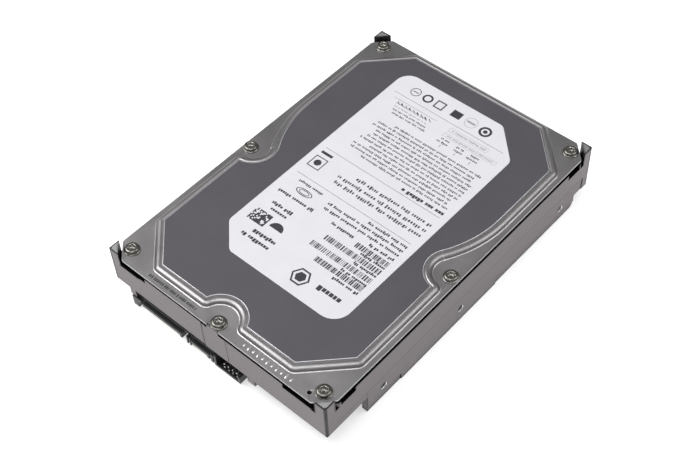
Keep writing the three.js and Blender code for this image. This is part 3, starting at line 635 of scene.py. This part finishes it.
def plate_outline(push):
    """The damping plate's edge pushed out by a distance, with every corner opened into a fan."""
    arc_step, fan_step = 4, 9
    half = []

    def add(x, y, facing):
        a = math.radians(facing)
        half.append((x + push * math.cos(a), y + push * math.sin(a)))

    def corner(x, y, start, end):
        steps = math.ceil((end - start) / fan_step) if push > 0 else 0
        for i in range(steps + 1):
            add(x, y, start + (end - start) * i / max(steps, 1))

    def arc(centre, radius, start, end, hollow):
        steps = math.ceil(abs(end - start) / arc_step)
        for i in range(steps + 1):
            a = start + (end - start) * i / steps
            x = centre[0] + radius * math.cos(math.radians(a))
            y = centre[1] + radius * math.sin(math.radians(a))
            add(x, y, a + 180 if hollow else a)

    low, high = box_mm("damping_plate")
    side, near_end, far_end = high.x, low.y, high.y
    notch, notch_r = (0, -70.1), 10.2
    bump, bump_r = (46.6, -4.8), 9.4
    disc = (0, 24)
    notch_end = math.degrees(math.asin((near_end - notch[1]) / notch_r))
    bump_start = math.degrees(math.acos((bump[0] - side) / bump_r)) + 180
    bump_end = 148.3
    arc(notch, notch_r, 90, notch_end, True)
    corner(notch_r * math.cos(math.radians(notch_end)), near_end, notch_end + 180, 270)
    corner(31.2, near_end, 270, 315)
    corner(side, -51.9, 315, 360)
    corner(side, bump[1] + bump_r * math.sin(math.radians(bump_start)), 0, bump_start - 180)
    arc(bump, bump_r, bump_start, bump_end, True)
    arc(disc, side, bump_end - 180, 0, False)
    corner(side, 54.2, 0, 45)
    corner(30, far_end, 45, 90)
    # Leave out the middle point, which both halves share, and close up points that coincide.
    mirrored = [(-x, y) for x, y in reversed(half[1:])]
    whole = half + mirrored
    return [p for i, p in enumerate(whole) if math.dist(p, whole[i - 1]) > 1e-4]


def inset(outline, width):
    """An anticlockwise outline moved inwards by a width, point for point."""
    moved = []
    for i, point in enumerate(outline):
        here = Vector(point)
        before = (here - Vector(outline[i - 1])).normalized()
        after = (Vector(outline[(i + 1) % len(outline)]) - here).normalized()
        middle = (before + after).normalized()
        moved.append(here + Vector((-middle.y, middle.x)) * width / middle.dot(after))
    return moved


def fill_flat(loops, holes_at):
    """Triangles between an outer loop and the loops inside it, leaving out holes round given points."""
    points, edges = [], []
    for loop in loops:
        start = len(points)
        points.extend(Vector(p[:2]) for p in loop)
        n = len(loop)
        edges.extend((start + i, start + (i + 1) % n) for i in range(n))
    out, _, faces, origins, _, _ = delaunay_2d_cdt(points, edges, [], 0, 1e-6)
    where = [o[0] if o else None for o in origins]
    kept = []
    for face in faces:
        middle = sum((out[i] for i in face), Vector((0, 0))) / len(face)
        if not any(inside(middle) for inside in holes_at):
            kept.append(tuple(where[i] for i in face))
    return kept


def in_polygon(outline):
    def test(p):
        hit = False
        for (x0, y0), (x1, y1) in zip(outline, outline[1:] + outline[:1]):
            if (y0 > p.y) != (y1 > p.y) and p.x < x0 + (p.y - y0) * (x1 - x0) / (y1 - y0):
                hit = not hit
        return hit
    return test


def gap_to(outline, point):
    """The distance from a point to the nearest edge of an outline."""
    gaps = []
    for a, b in zip(outline, outline[1:] + outline[:1]):
        along = Vector(b) - Vector(a)
        t = max(0, min(1, (Vector(point) - Vector(a)).dot(along) / along.length_squared))
        gaps.append((Vector(a) + along * t - Vector(point)).length)
    return min(gaps)


def screw_places(prefix, count):
    places = []
    for i in range(1, count + 1):
        low, high = box_mm(f"{prefix}_{i}")
        places.append(((low.x + high.x) / 2, (low.y + high.y) / 2))
    return places


def build_cover():
    low, high = box_mm("top_cover")
    chamfer = 6.1
    corner_r = 1.4
    x, y0, y1 = high.x, low.y, high.y
    corners = [(-x + chamfer, y0), (x - chamfer, y0), (x, y0 + chamfer), (x, y1 - chamfer),
               (x - chamfer, y1), (-x + chamfer, y1), (-x, y1 - chamfer), (-x, y0 + chamfer)]
    # A small notch in the connector end, round the casting's lug.
    lug = [(-2.9, y0), (-2.9, y0 + 0.85), (3.2, y0 + 0.85), (3.2, y0)]
    rounded = [(cx, cy, corner_r) for cx, cy in corners]
    rounded[1:1] = [(px, py, 0.25) for px, py in lug]
    outline = rounded_polygon(rounded)
    flange_z = FLANGE_TOP
    shape = Shape()
    loops = [[(px, py, flange_z) for px, py in outline]]
    ridge = ridge_profile()
    foot = plate_outline(ridge[0][0])
    loops.append([(px, py, flange_z) for px, py in foot])
    # Each screw sits in a shallow dished seat.
    dish = [(4.6, 0.0), (4.1, -0.02), (3.7, -0.06), (3.35, -0.09), (1.8, -0.09)]
    holes = [in_polygon(foot)]
    for place in screw_places("cover_screw", 7):
        room = min(gap_to(outline, place), gap_to(foot, place)) - 0.2
        for r, drop in dish:
            if r < room:
                loops.append([(*p, flange_z + drop) for p in circle(place, r, 40)])
        holes.append(lambda p, c=place: math.dist(p, c) < dish[-1][0] - 0.001)
    tooling = (41.7, -70.8)
    loops.append([(*p, flange_z) for p in circle(tooling, 0.85, 20)])
    holes.append(lambda p: math.dist(p, tooling) < 0.84)
    for loop in loops:
        shape.vertices.extend(loop)
    shape.faces.extend(fill_flat(loops, holes))
    rows = [list(range(len(loops[0]), len(loops[0]) + len(foot)))]
    for push, z in ridge[1:]:
        rows.append(shape.ring([(px, py, z) for px, py in plate_outline(push)]))
    shape.loft(rows, capped=False)
    shape.cap(rows[-1])
    cover = shape.make("stamped_cover", "stamped_steel")
    sheet = cover.modifiers.new("sheet", "SOLIDIFY")
    sheet.thickness = SHEET * MM
    sheet.offset = -1
    soften(cover, 0.13, 2, 50)
    attach(cover, "stamped_steel", "top_cover")


def build_flange_marks():
    """Plain marks on the connector end's flange: a printed row of small blocks and a raised row."""
    marks = random.Random(12)
    printed, raised = Shape(), Shape()
    x, end, print_y, bar_y = -32.4, -9.6, -71.45, -71.2
    while x < end:
        wide = marks.uniform(0.4, 0.7)
        tall = marks.choice((0.5, 0.5, 0.62))
        printed.block((x, x + wide), (print_y - tall, print_y + tall), (FLANGE_TOP, FLANGE_TOP + 0.012))
        x += wide + marks.choice((0.2, 0.2, 0.2, 0.6))
    for k in range(11):
        middle, tall = 13.2 + k * 2.1, 0.95 if k % 2 else 0.65
        bar = rounded_box((middle - 0.3, middle + 0.3), (bar_y - tall, bar_y + tall), 0.25, 3)
        raised.slab(bar, FLANGE_TOP - 0.02, FLANGE_TOP + 0.06)
    attach(printed.make("flange_print", "print_ink", smooth=False), "label_paper")
    attach(soften(raised.make("flange_stamping", "stamped_steel"), 0.02, 1), "stamped_steel")


def build_damping_plate():
    top = box_mm("damping_plate")[1].z - 0.02
    shape = Shape()
    # The sheared edge is a narrow bright band that falls off to the plate's side.
    steps = [(0, LEDGE_TOP + 0.02), (0, top - 0.14), (0.05, top - 0.05), (0.11, top - 0.01), (0.2, top)]
    outline = plate_outline(0)
    shape.loft([shape.ring([(x, y, z) for x, y in inset(outline, width)]) for width, z in steps])
    sheared = len(shape.faces) - 2
    plate = shape.make("bonded_damping_sheet", "dark_sheet")
    plate.data.materials.append(MAT["sheared_edge"])
    for face in plate.data.polygons[:sheared]:
        face.material_index = 1
    for face in plate.data.polygons[sheared:]:
        face.use_smooth = False
    attach(plate, "dark_sheet", "damping_plate")


def six_lobe(centre, radius, count, z):
    """The outline of a six-lobed socket."""
    points = []
    for i in range(count):
        a = 2 * math.pi * i / count
        r = radius * (1 + 0.13 * math.cos(6 * a))
        points.append((centre[0] + r * math.cos(a), centre[1] + r * math.sin(a), z))
    return points


def build_screws(prefix, count, head_r, rise, socket_r, base_z, turns=9, turn_over=False, body="chassis"):
    """Pan-head screws with a stepped rim, a rounded shoulder and a six-lobed socket."""
    segments = 72
    for index, place in enumerate(screw_places(prefix, count), 1):
        shape = Shape()
        rim = 0.26 * rise
        collar = head_r - 0.2
        profile = [(0.45 * head_r, 0), (head_r - 0.08, 0), (head_r, 0.06), (head_r, rim - 0.06),
                   (head_r - 0.06, rim), (collar + 0.04, rim + 0.02), (collar, rim + 0.08)]
        crown, dome = 0.62 * rise, collar - 1.4 * socket_r
        for k in range(1, 10):
            a = math.radians(10 * k)
            profile.append((collar - dome * (1 - math.cos(a)), rise - crown * (1 - math.sin(a))))
        profile.append((socket_r * 1.28, rise))
        rings = [shape.ring(circle(place, r, segments, base_z + z)) for r, z in profile]
        twist = Matrix.Rotation(index * 1.1, 4, "Z")
        for scale, z in ((1.02, rise - 0.07), (1, rise - 0.16), (0.97, rise * 0.3)):
            lobes = six_lobe((0, 0), socket_r * scale, segments, base_z + z)
            rings.append(shape.ring([tuple(twist @ Vector(p) + Vector((*place, 0))) for p in lobes]))
        # Line the plain rings up with the turned socket.
        rings.append(shape.ring(circle(place, socket_r * 0.35, segments, base_z + rise * 0.22)))
        offset = round(index * 1.1 / (2 * math.pi) * segments)
        rings = rings[:-4] + [r[-offset:] + r[:-offset] for r in rings[-4:-1]] + [rings[-1]]
        shape.loft(rings, capped=False)
        shape.cap(rings[-1])
        # The threaded shank below the head.
        shank = [(0.45 * head_r, 0)]
        for k in range(turns):
            shank += [(0.45 * head_r, -0.3 - k * 0.62), (0.36 * head_r, -0.6 - k * 0.62)]
        shank.append((0.2 * head_r, -0.9 - turns * 0.62))
        below = [rings[0]] + [shape.ring(circle(place, r, segments, base_z + z)) for r, z in shank[1:]]
        for a, b in zip(below, below[1:]):
            shape.bridge(b, a)
        shape.cap(below[-1][::-1])
        if turn_over:
            top = 2 * base_z
            shape.vertices = [(vx, 2 * place[1] - vy, top - vz) for vx, vy, vz in shape.vertices]
        screw = shape.make(f"lobed_{prefix}_{index}", "nickel_fastener")
        attach(screw, "nickel_fastener", f"{prefix}_{index}", body=body)


# ---- Threaded holes, pins and contacts ----

# Mounting holes, number 6-32, at the places of the 3.5-inch standard.
SIDE_HOLES_Y = (-45, -3.4, 56.6)
SIDE_HOLES_Z = 6.35
BOTTOM_HOLES_X = 47.625
BOTTOM_HOLES_Y = (-32.22, 12.23)
THREAD_PITCH = 0.79


def build_hole_threads():
    """The threads of the ten mounting holes, each a lining with its first turn opened out."""
    crest, root, turns, sides, opened = 1.3, 1.5, 5, 28, 0.34
    inner = [(root, 0.02), (1.42, 0.22), (crest, opened)]
    for k in range(turns):
        inner += [(root, opened + THREAD_PITCH * (k + 0.5)), (crest, opened + THREAD_PITCH * (k + 1))]
    profile = inner + [(1.54, inner[-1][1]), (1.54, 0.02)]
    low, high = box_mm("base_casting")
    holes = []
    for side in (-1, 1):
        for y in SIDE_HOLES_Y:
            holes.append((Vector((side * (high.x - 0.2), y, SIDE_HOLES_Z)), Vector((-side, 0, 0))))
        for y in BOTTOM_HOLES_Y:
            holes.append((Vector((side * BOTTOM_HOLES_X, y, low.z)), Vector((0, 0, 1))))
    shape = Shape()
    for mouth, inwards in holes:
        across = Vector((0, 1, 0))
        other = inwards.cross(across)
        rings = []
        for radius, depth in profile:
            centre = mouth + inwards * depth
            turn = circle((0, 0), radius, sides)
            rings.append(shape.ring([tuple(centre + across * a + other * b) for a, b in turn]))
        shape.hoop(rings)
    attach(shape.make("hole_threads", "cut_thread"), "cast_aluminium")


def build_jumper_pins():
    """Two rows of square pins with chamfered tips, pointing out of the jumper block."""
    pitch, half, length = 2, 0.3, (-72.9, -65.5)
    shape = Shape()
    for column in range(4):
        for z in (2.3, 2.3 + pitch):
            x = 2.3 + pitch * column
            shape.block((x - half, x + half), length, (z - half, z + half))
    pins = shape.make("jumper_pins", "stainless")
    attach(soften(pins, 0.12, 2), "stainless")


def build_contacts():
    """The contact blades let into the undersides of the connector's two tongues."""
    shape = Shape()
    for first, last, count in ((-37.9, -20.2, 15), (-12.8, -6.5, 7)):
        for k in range(count):
            x = first + (last - first) * k / (count - 1)
            short = 0.5 * (k % 4 != 0)
            shape.block((x - 0.36, x + 0.36), (-72.9 + short, -66.2), (2.48, 2.66))
    blades = shape.make("contact_blades", "gold")
    attach(soften(blades, 0.07, 2), "stainless")


# ---- Inside ----


def build_windings():
    """Copper turns round each of the nine teeth of the motor's stator."""
    low, high = box_mm("stator_core")
    centre = joint_place("spindle_spin")
    middle, half = (low.z + high.z) / 2, (high.z - low.z) / 2
    shape = Shape()
    for tooth in range(9):
        a = math.radians(40 * tooth)
        out, across = Vector((math.cos(a), math.sin(a))), Vector((-math.sin(a), math.cos(a)))

        def loop(radius, wide, tall, corner):
            outline = rounded_box((-wide, wide), (-tall, tall), corner, 3)
            points = [centre.xy + out * radius + across * u for u, _ in outline]
            return shape.ring([(*p, middle + v) for p, (_, v) in zip(points, outline)])

        rings = []
        for k in range(19):
            bulge = 0.38 + 0.09 * (k % 2)
            rings.append(loop(6.4 + 2.5 * k / 18, 1.28 + bulge, half + bulge, 0.45))
        rings += [loop(8.9, 1.32, half + 0.04, 0.1), loop(6.4, 1.32, half + 0.04, 0.1)]
        shape.hoop(rings)
    attach(shape.make("stator_windings", "copper_winding"), "copper_winding")


def build_flex_ribbon():
    """The ribbon cable from its bracket to the arms, with conductors that show through as strips."""
    route = [Vector(p) for p in ((-5.5, -52.3), (-1, -46.6), (3.5, -42), (8.6, -38.6), (11.94, -34.73))]
    ends = [2 * route[0] - route[1], *route, 2 * route[-1] - route[-2]]
    line = []
    for a, b, c, d in zip(ends, ends[1:], ends[2:], ends[3:]):
        for k in range(12):
            t = k / 12
            line.append(0.5 * (2 * b + (c - a) * t + (2 * a - 5 * b + 4 * c - d) * t * t
                               + (3 * b - a - 3 * c + d) * t ** 3))
    line.append(route[-1])
    low, high = box_mm("flex_cable")

    def strip(shape, inner, outer, z0, z1):
        rings = []
        for push, z in ((inner, z0), (outer, z0), (outer, z1), (inner, z1)):
            ring = []
            for i, p in enumerate(line):
                along = (line[min(i + 1, len(line) - 1)] - line[max(i - 1, 0)]).normalized()
                side = Vector((-along.y, along.x))
                ring.append((*(p + side * push), z))
            rings.append(shape.ring(ring))
        for a, b in zip(rings, rings[1:] + rings[:1]):
            shape.faces.extend((a[i], a[i + 1], b[i + 1], b[i]) for i in range(len(line) - 1))
        shape.cap([r[0] for r in rings])
        shape.cap([r[-1] for r in rings][::-1])

    film, copper = Shape(), Shape()
    strip(film, -0.07, 0.07, low.z, high.z)
    for k in range(9):
        z = low.z + 0.45 + k * 0.65
        strip(copper, 0.07, 0.09, z, z + 0.3)
        strip(copper, -0.09, -0.07, z, z + 0.3)
    for name, shape, material in (("flex_ribbon", film, "polyimide_film"),
                                  ("flex_conductors", copper, "copper_winding")):
        ribbon = shape.make(name, material, smooth=False)
        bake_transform(ribbon)
        if shape is film:
            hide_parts("flex_cable")


def build_cushion():
    """The foam between the circuit board and the casting, die cut with round corners."""
    low, high = box_mm("foam_pad")
    shape = Shape()
    outline = rounded_box((low.x, high.x), (low.y, high.y), 3)
    steps = [(0.35, low.z), (0.08, low.z + 0.12), (0, low.z + 0.4),
             (0, high.z - 0.4), (0.08, high.z - 0.12), (0.35, high.z)]
    shape.loft([shape.ring([(x, y, z) for x, y in inset(outline, width)]) for width, z in steps])
    pad = attach(shape.make("board_cushion", "foam"), "foam", "foam_pad")


# ---- Underside of the circuit board ----


def board_edge():
    """The circuit board's outline, with its hollow round the motor."""
    wide, edge, far, motor, motor_r = 45.8, 42.6, 12, (0, 23.5), 18.5
    start = math.asin((far - motor[1]) / motor_r)
    points = [(-wide, -63.6), (11, -63.6), (11, -68), (wide, -68), (wide, -54.2), (edge, -54.2),
              (edge, far - 6), (edge - 6, far)]
    for k in range(21):
        a = start - (2 * start + math.pi) * k / 20
        points.append((motor[0] + motor_r * math.cos(a), motor[1] + motor_r * math.sin(a)))
    return points + [(6 - edge, far), (-edge, far - 6), (-edge, -54.2), (-wide, -54.2)]


class BoardFace:
    """Copper and solder on the board's lower face, each as a thin patch under it."""

    def __init__(self):
        self.under = box_mm("circuit_board")[0].z
        self.edge = board_edge()
        self.tracks = Shape()
        self.pads = Shape()
        self.joints = Shape()
        self.taken = [(*place, 4.2) for place in screw_places("board_screw", 3)]
        self.random = random.Random(7)

    def patch(self, shape, outline, thick=0.02):
        shape.slab(outline, self.under - thick, self.under - 0.001)

    def track(self, points, width):
        """A run of copper through a list of points."""
        for a, b in zip(points, points[1:]):
            a, b = Vector(a), Vector(b)
            along = (b - a).normalized()
            out = Vector((-along.y, along.x)) * width / 2
            a, b = a - along * width * 0.4, b + along * width * 0.4
            self.patch(self.tracks, [tuple(p) for p in (a - out, b - out, b + out, a + out)], 0.014)

    def bundle(self, points, count, pitch, width):
        """Runs side by side that turn together, each ending in a small round hole's pad."""
        directions = [(Vector(b) - Vector(a)).normalized() for a, b in zip(points, points[1:])]
        for k in range(count):
            push = (k - (count - 1) / 2) * pitch
            shifted = []
            for i, p in enumerate(points):
                before = directions[max(i - 1, 0)]
                after = directions[min(i, len(directions) - 1)]
                middle = (before + after).normalized()
                out = Vector((-middle.y, middle.x)) / middle.dot(after)
                shifted.append(tuple(Vector(p) + out * push))
            self.track(shifted, width)
            for end in (shifted[0], shifted[-1]):
                self.patch(self.pads, circle(end, 0.22, 10))
            self.taken.extend((*p, 0.5) for p in shifted)

    def rows(self, shape, x, y, columns, rows, pitch, size):
        for i in range(columns):
            for j in range(rows):
                cx, cy = x + i * pitch[0], y + j * pitch[1]
                across, along = size[0] / 2, size[1] / 2
                pad = rounded_box((cx - across, cx + across), (cy - along, cy + along), 0.12, 2)
                self.patch(shape, pad, 0.05)
                self.taken.append((cx, cy, max(size) * 0.8))

    def scatter(self, shape, count, radius, sides):
        """Round pads in free places of the board."""
        on_board = in_polygon(self.edge)
        tries = 0
        while count and tries < 4000:
            tries += 1
            p = Vector((self.random.uniform(-44, 44), self.random.uniform(-66, 11)))
            if not on_board(p) or gap_to(self.edge, p) < radius + 0.9:
                continue
            if any(math.dist(p, t[:2]) < t[2] + radius + 0.3 for t in self.taken):
                continue
            self.patch(shape, circle(p, radius, sides))
            self.taken.append((p.x, p.y, radius))
            count -= 1

    def build(self):
        # Solder rows of the connector, the head stack's plug and the motor's contacts.
        self.rows(self.joints, -37.9, -62.2, 15, 1, (1.27, 1), (0.7, 1.5))
        self.rows(self.joints, -12.9, -62.2, 7, 1, (1.1, 1), (0.6, 1.5))
        self.rows(self.joints, 2.3, -62.2, 4, 2, (2, 2), (1.1, 1.1))
        self.rows(self.pads, -10.6, -53, 9, 2, (1.27, 2.2), (0.62, 1.2))
        self.rows(self.pads, -4.5, 1.6, 4, 1, (3, 1), (1.7, 3))
        # Rows of small parts' joints under the controller and the motor driver.
        self.rows(self.joints, -14, -42, 7, 6, (2.6, 2.6), (0.75, 0.95))
        self.rows(self.joints, 13, -25, 4, 4, (2.4, 2.2), (0.8, 1))
        self.bundle([(-29, -59), (-29, -53), (-20.5, -44.5), (-20.5, -30), (-15.5, -25)], 9, 0.55, 0.2)
        self.bundle([(-9.5, -59.5), (-9.5, -56.2)], 6, 0.8, 0.25)
        self.bundle([(3, -52), (8, -47), (8, -30), (12, -26.5)], 7, 0.6, 0.2)
        self.bundle([(17, -15), (17, -9), (8, 0)], 4, 1.3, 0.7)
        self.bundle([(-16.5, -22), (-24, -14.5), (-24, -3), (-30, 3)], 8, 0.6, 0.22)
        self.bundle([(24, -22), (31, -22), (36, -27), (36, -44)], 5, 0.8, 0.3)
        self.bundle([(14, -62), (24, -52), (24, -38), (20, -34)], 6, 0.7, 0.25)
        for place in screw_places("board_screw", 3):
            rings = []
            for radius, z in ((3.9, 0.001), (3.9, 0.03), (2.0, 0.03), (2.0, 0.001)):
                rings.append(self.joints.ring(circle(place, radius, 40, self.under - z)))
            self.joints.hoop(rings)
        self.scatter(self.pads, 46, 0.55, 18)
        self.scatter(self.pads, 170, 0.2, 10)
        attach(self.tracks.make("board_tracks", "covered_copper", smooth=False), "circuit_board")
        attach(self.pads.make("board_pads", "gold", smooth=False), "circuit_board")
        attach(self.joints.make("board_joints", "solder", smooth=False), "circuit_board")


# ---- Label ----


class Label:
    """The label's print, placed as it reads: u runs right and w down from the top left corner."""

    INK = 0.012

    def __init__(self):
        self.low, self.high = box_mm("drive_label")
        self.top = self.high.z
        self.dark = Shape()
        self.grey = Shape()
        self.random = random.Random(35)

    def point(self, u, w):
        return (self.high.x - u, self.low.y + w)

    def patch(self, outline, grey=False):
        """A thin patch of ink on an outline of (u, w) points."""
        target = self.grey if grey else self.dark
        points = [self.point(u, w) for u, w in outline]
        area = sum(a[0] * b[1] - b[0] * a[1] for a, b in zip(points, points[1:] + points[:1]))
        target.slab(points if area > 0 else points[::-1], self.top + 0.002, self.top + 0.002 + self.INK)

    def bar(self, u0, u1, w0, w1, grey=False):
        self.patch([(u0, w0), (u1, w0), (u1, w1), (u0, w1)], grey)

    def greeked(self, u0, u1, w, height, weight=1.0, grey=False):
        """A line of stand-in text: small blocks grouped into words, with no letters in it."""
        u = u0
        while u < u1 - height:
            word = self.random.randint(2, 9)
            for _ in range(word):
                step = height * self.random.uniform(0.42, 0.72)
                if u + step > u1:
                    break
                tall = self.random.random() < 0.3
                top = w - height * (0.5 if tall else 0.28)
                drop = height * (0.5 if self.random.random() < 0.12 else 0.28)
                self.bar(u, u + step * 0.72 * weight, top, w + drop, grey)
                u += step
            u += height * 0.5

    def barcode(self, u0, u1, w0, w1):
        u = u0
        while u < u1:
            wide = self.random.choice((0.2, 0.2, 0.4, 0.6))
            self.bar(u, min(u + wide, u1), w0, w1)
            u += wide + self.random.choice((0.2, 0.2, 0.4, 0.55))

    def arc(self, centre, radii, start, step, count):
        """Points on an arc of a circle or an ellipse, with a count of steps between them."""
        turns = [start + step * k for k in range(count + 1)]
        return [(centre[0] + radii[0] * math.cos(a), centre[1] + radii[1] * math.sin(a)) for a in turns]

    def ring(self, u, w, radius, line, squash=1.0, grey=False):
        """A ring drawn as two half bands, so that each is a plain outline."""
        step = math.pi / 14
        for start in (0, math.pi):
            outer = self.arc((u, w), (radius, squash * radius), start, step, 14)
            inner = self.arc((u, w), (radius - line, squash * radius - line), start, step, 14)
            self.patch(outer + inner[::-1], grey)

    def frame(self, u0, u1, w0, w1, line, grey=False):
        self.bar(u0, u1, w0, w0 + line, grey)
        self.bar(u0, u1, w1 - line, w1, grey)
        self.bar(u0, u0 + line, w0 + line, w1 - line, grey)
        self.bar(u1 - line, u1, w0 + line, w1 - line, grey)

    def disc(self, u, w, radius):
        self.patch(self.arc((u, w), (radius, radius), 0, math.pi / 12, 23))

    def matrix(self, u0, w0, columns, rows, cell):
        for row in range(rows):
            for column in range(columns):
                edge = row in (0, rows - 1) or column in (0, columns - 1)
                if self.random.random() < (0.88 if edge else 0.62):
                    u, w = u0 + column * cell, w0 + row * cell
                    self.bar(u, u + cell * 0.98, w, w + cell * 0.98)

    def print_head(self):
        """The upper part: maker's panel, codes and ratings, all of it plain stand-ins."""
        self.greeked(5.6, 17.4, 8.3, 2.9, 1.15)
        for radius, line in ((3.9, 0.75), (2.2, 2.19)):
            hexagon = self.arc((22.9, 7.4), (radius, radius), 0, math.pi / 3, 5)
            inner = self.arc((22.9, 7.4), (radius - line, radius - line), 0, math.pi / 3, 5)
            for k in range(6):
                j = (k + 1) % 6
                self.patch([hexagon[k], hexagon[j], inner[j], inner[k]])
        rows = [(14.2, 16.0, 24.5), (18.7, 20.4, 31.0), (23.7, 25.2, 28.4), (28.2, 29.5, 17.8)]
        for text_w, code_w, end in rows:
            self.greeked(3.2, 14.8, text_w, 1.5, 1.1)
            self.barcode(3.2, end, code_w - 0.5, code_w + 1.9)
        self.greeked(3.2, 15, 33, 1.5, 1.1)
        self.greeked(20.5, 31, 32, 1.5, 1.1)
        self.greeked(39.8, 53.4, 9, 2.0, 1.15)
        self.greeked(39.5, 51, 12.2, 2.0, 1.15)
        self.matrix(48.3, 14.9, 13, 10, 0.59)
        self.patch(self.arc((44, 17), (3, 3), 0, math.pi / 12, 12))
        self.greeked(44.6, 52.8, 23.3, 1.7, 1.1)
        self.greeked(44.2, 55.6, 25.9, 1.7, 1.1)
        self.greeked(39.6, 56.8, 31.8, 1.7, 1.1)
        self.ring(47.8, 36.2, 3.7, 0.35, 0.42)
        self.ring(47.8, 36.2, 2.4, 0.3, 0.42)
        self.greeked(42.1, 53.8, 39.8, 1.3)
        for w in (35.6, 38.0, 40.3):
            self.greeked(3.2, 38.3 if w < 40 else 21.8, w, 1.5)
        self.bar(3.2, 56.8, 42.3, 42.44)

    def print_middle(self):
        self.greeked(3, 44, 47.2, 1.8, 0.85)
        self.greeked(3, 45, 50.1, 1.8, 0.85)
        self.greeked(3, 38.4, 53.2, 1.8, 0.85)
        self.frame(51.2, 56.8, 47.2, 53.2, 0.4)
        self.disc(54, 50.2, 1.5)
        self.bar(51.4, 56.6, 54.9, 56.1)
        self.bar(3, 56.7, 57.9, 58.04)

    def print_notes(self):
        self.greeked(3, 23.2, 60.1, 2.1, 1.2)
        w = 62.9
        while w < 84:
            self.greeked(3.6 if self.random.random() < 0.7 else 5.2,
                         self.random.uniform(44, 53), w, 1.15, 0.9)
            w += 1.95
        for u in (9.6, 16.6, 23.4):
            self.bar(u + 1.4, u + 1.6, 84.6, 86.0)
            self.greeked(u - 0.6, u + 4.6, 87.1, 1.2, 0.9)
            self.greeked(u - 0.2, u + 4.0, 88.9, 1.2, 0.9)
        self.frame(3.4, 27.6, 90.2, 92.0, 0.12, grey=True)
        self.greeked(5, 26.5, 91.1, 0.9, grey=True)
        self.frame(9.6, 27.4, 93.2, 95.4, 0.12, grey=True)
        self.greeked(10.6, 26.6, 94.3, 1.1, grey=True)
        for row in range(4):
            self.greeked(34 + row, 50 + row, 87.6 + row * 1.7, 0.95, 0.9, grey=row > 1)
        self.bar(33.8, 54.4, 94.6, 94.72)
        for k in range(9):
            u = 35 + k * 1.9
            self.patch([(u, 92.6), (u + 0.25, 92.5), (u + 1.7, 93.6 - 0.5 * (k % 2)), (u + 1.5, 93.8)])
        self.bar(4.5, 56.5, 97.1, 97.24)

    def print_foot(self):
        """A row of plain shapes where approval marks would be."""
        self.ring(49.6, 101.8, 2.2, 0.32)
        self.bar(48.4, 50.8, 101.6, 102.0)
        self.ring(43.8, 101.9, 2.2, 0.8)
        self.frame(35.9, 40.1, 99.9, 104.1, 0.55)
        self.bar(27.8, 32.2, 100.3, 103.9)
        self.ring(23.1, 102.1, 2.7, 0.2, grey=True)
        self.bar(21.2, 25.0, 101.6, 102.6, grey=True)
        self.ring(16.2, 101.7, 2.6, 0.95)
        self.disc(16.2, 101.7, 0.9)

    def build(self):
        x0, x1, y0, y1 = self.low.x, self.high.x, self.low.y, self.high.y
        outline = rounded_polygon([
            (x0 + 10, y0, 3.5), (x1, y0, 7), (x1, y1 - 13, 3.5), (x1 - 13, y1, 3.5),
            (x0, y1, 6), (x0, y0 + 10, 3.5),
        ], 8)
        paper = Shape()
        paper.slab(outline, self.low.z, self.top)
        sheet = paper.make("paper_label", "label_paper")
        soften(sheet, 0.03, 1)
        attach(sheet, "label_paper", "drive_label")
        self.print_head()
        self.print_middle()
        self.print_notes()
        self.print_foot()
        attach(self.dark.make("label_print", "print_ink", smooth=False), "label_paper")
        attach(self.grey.make("label_print_grey", "grey_ink", smooth=False), "label_paper")


# ---- CAD nodes that stay ----


def dress_cad_nodes():
    """Gives every CAD node its slot's material, and rounds the edges of those that show."""
    slots = {row["node"]: row["material_slot"] for row in frame["record"]["subparts"]}
    edge_mm = {"base_casting": 0.28, "sata_connector": 0.12, "jumper_block": 0.12, "circuit_board": 0.08}
    for name, node in NODES.items():
        material = MAT[slots[name]]
        for slot in node.material_slots:
            slot.material = material
        weld = node.modifiers.new("weld", "WELD")
        weld.merge_threshold = 0.002 * MM
        flat = node.modifiers.new("merge_flats", "DECIMATE")
        flat.decimate_type = "DISSOLVE"
        flat.angle_limit = math.radians(1)
        soften(node, edge_mm.get(name, 0.08), 2, 40)


# ---- Build ----

add_camera()
add_world()
add_lights()
make_materials()
dress_cad_nodes()
build_cover()
build_flange_marks()
build_damping_plate()
build_screws("cover_screw", 7, 2.95, 1.5, 1.2, 24.33)
build_screws("board_screw", 3, 2.6, 0.9, 1.0, 1.28, turn_over=True)
build_screws("clamp_screw", 3, 2.1, 1.0, 0.8, box_mm("clamp_screw_1")[1].z - 1, turns=4, body="spindle")
build_windings()
build_flex_ribbon()
build_cushion()
build_hole_threads()
build_jumper_pins()
build_contacts()
BoardFace().build()
Label().build()

floor_data = bpy.data.meshes.new("floor")
floor_data.from_pydata([(-3, -3, 0), (3, -3, 0), (3, 3, 0), (-3, 3, 0)], [], [(0, 1, 2, 3)])
floor = bpy.data.objects.new("floor", floor_data)
floor.location.z = -0.0002
bpy.context.scene.collection.objects.link(floor)
pale = Shader("pale_floor")
glow = {"Emission_Color": rgb(1.0), "Emission_Strength": 0.55}
floor_data.materials.append(pale.finish(rgb(0.85), 0.8, 0.0, **glow))
bpy.context.scene.view_settings.view_transform = "Standard"
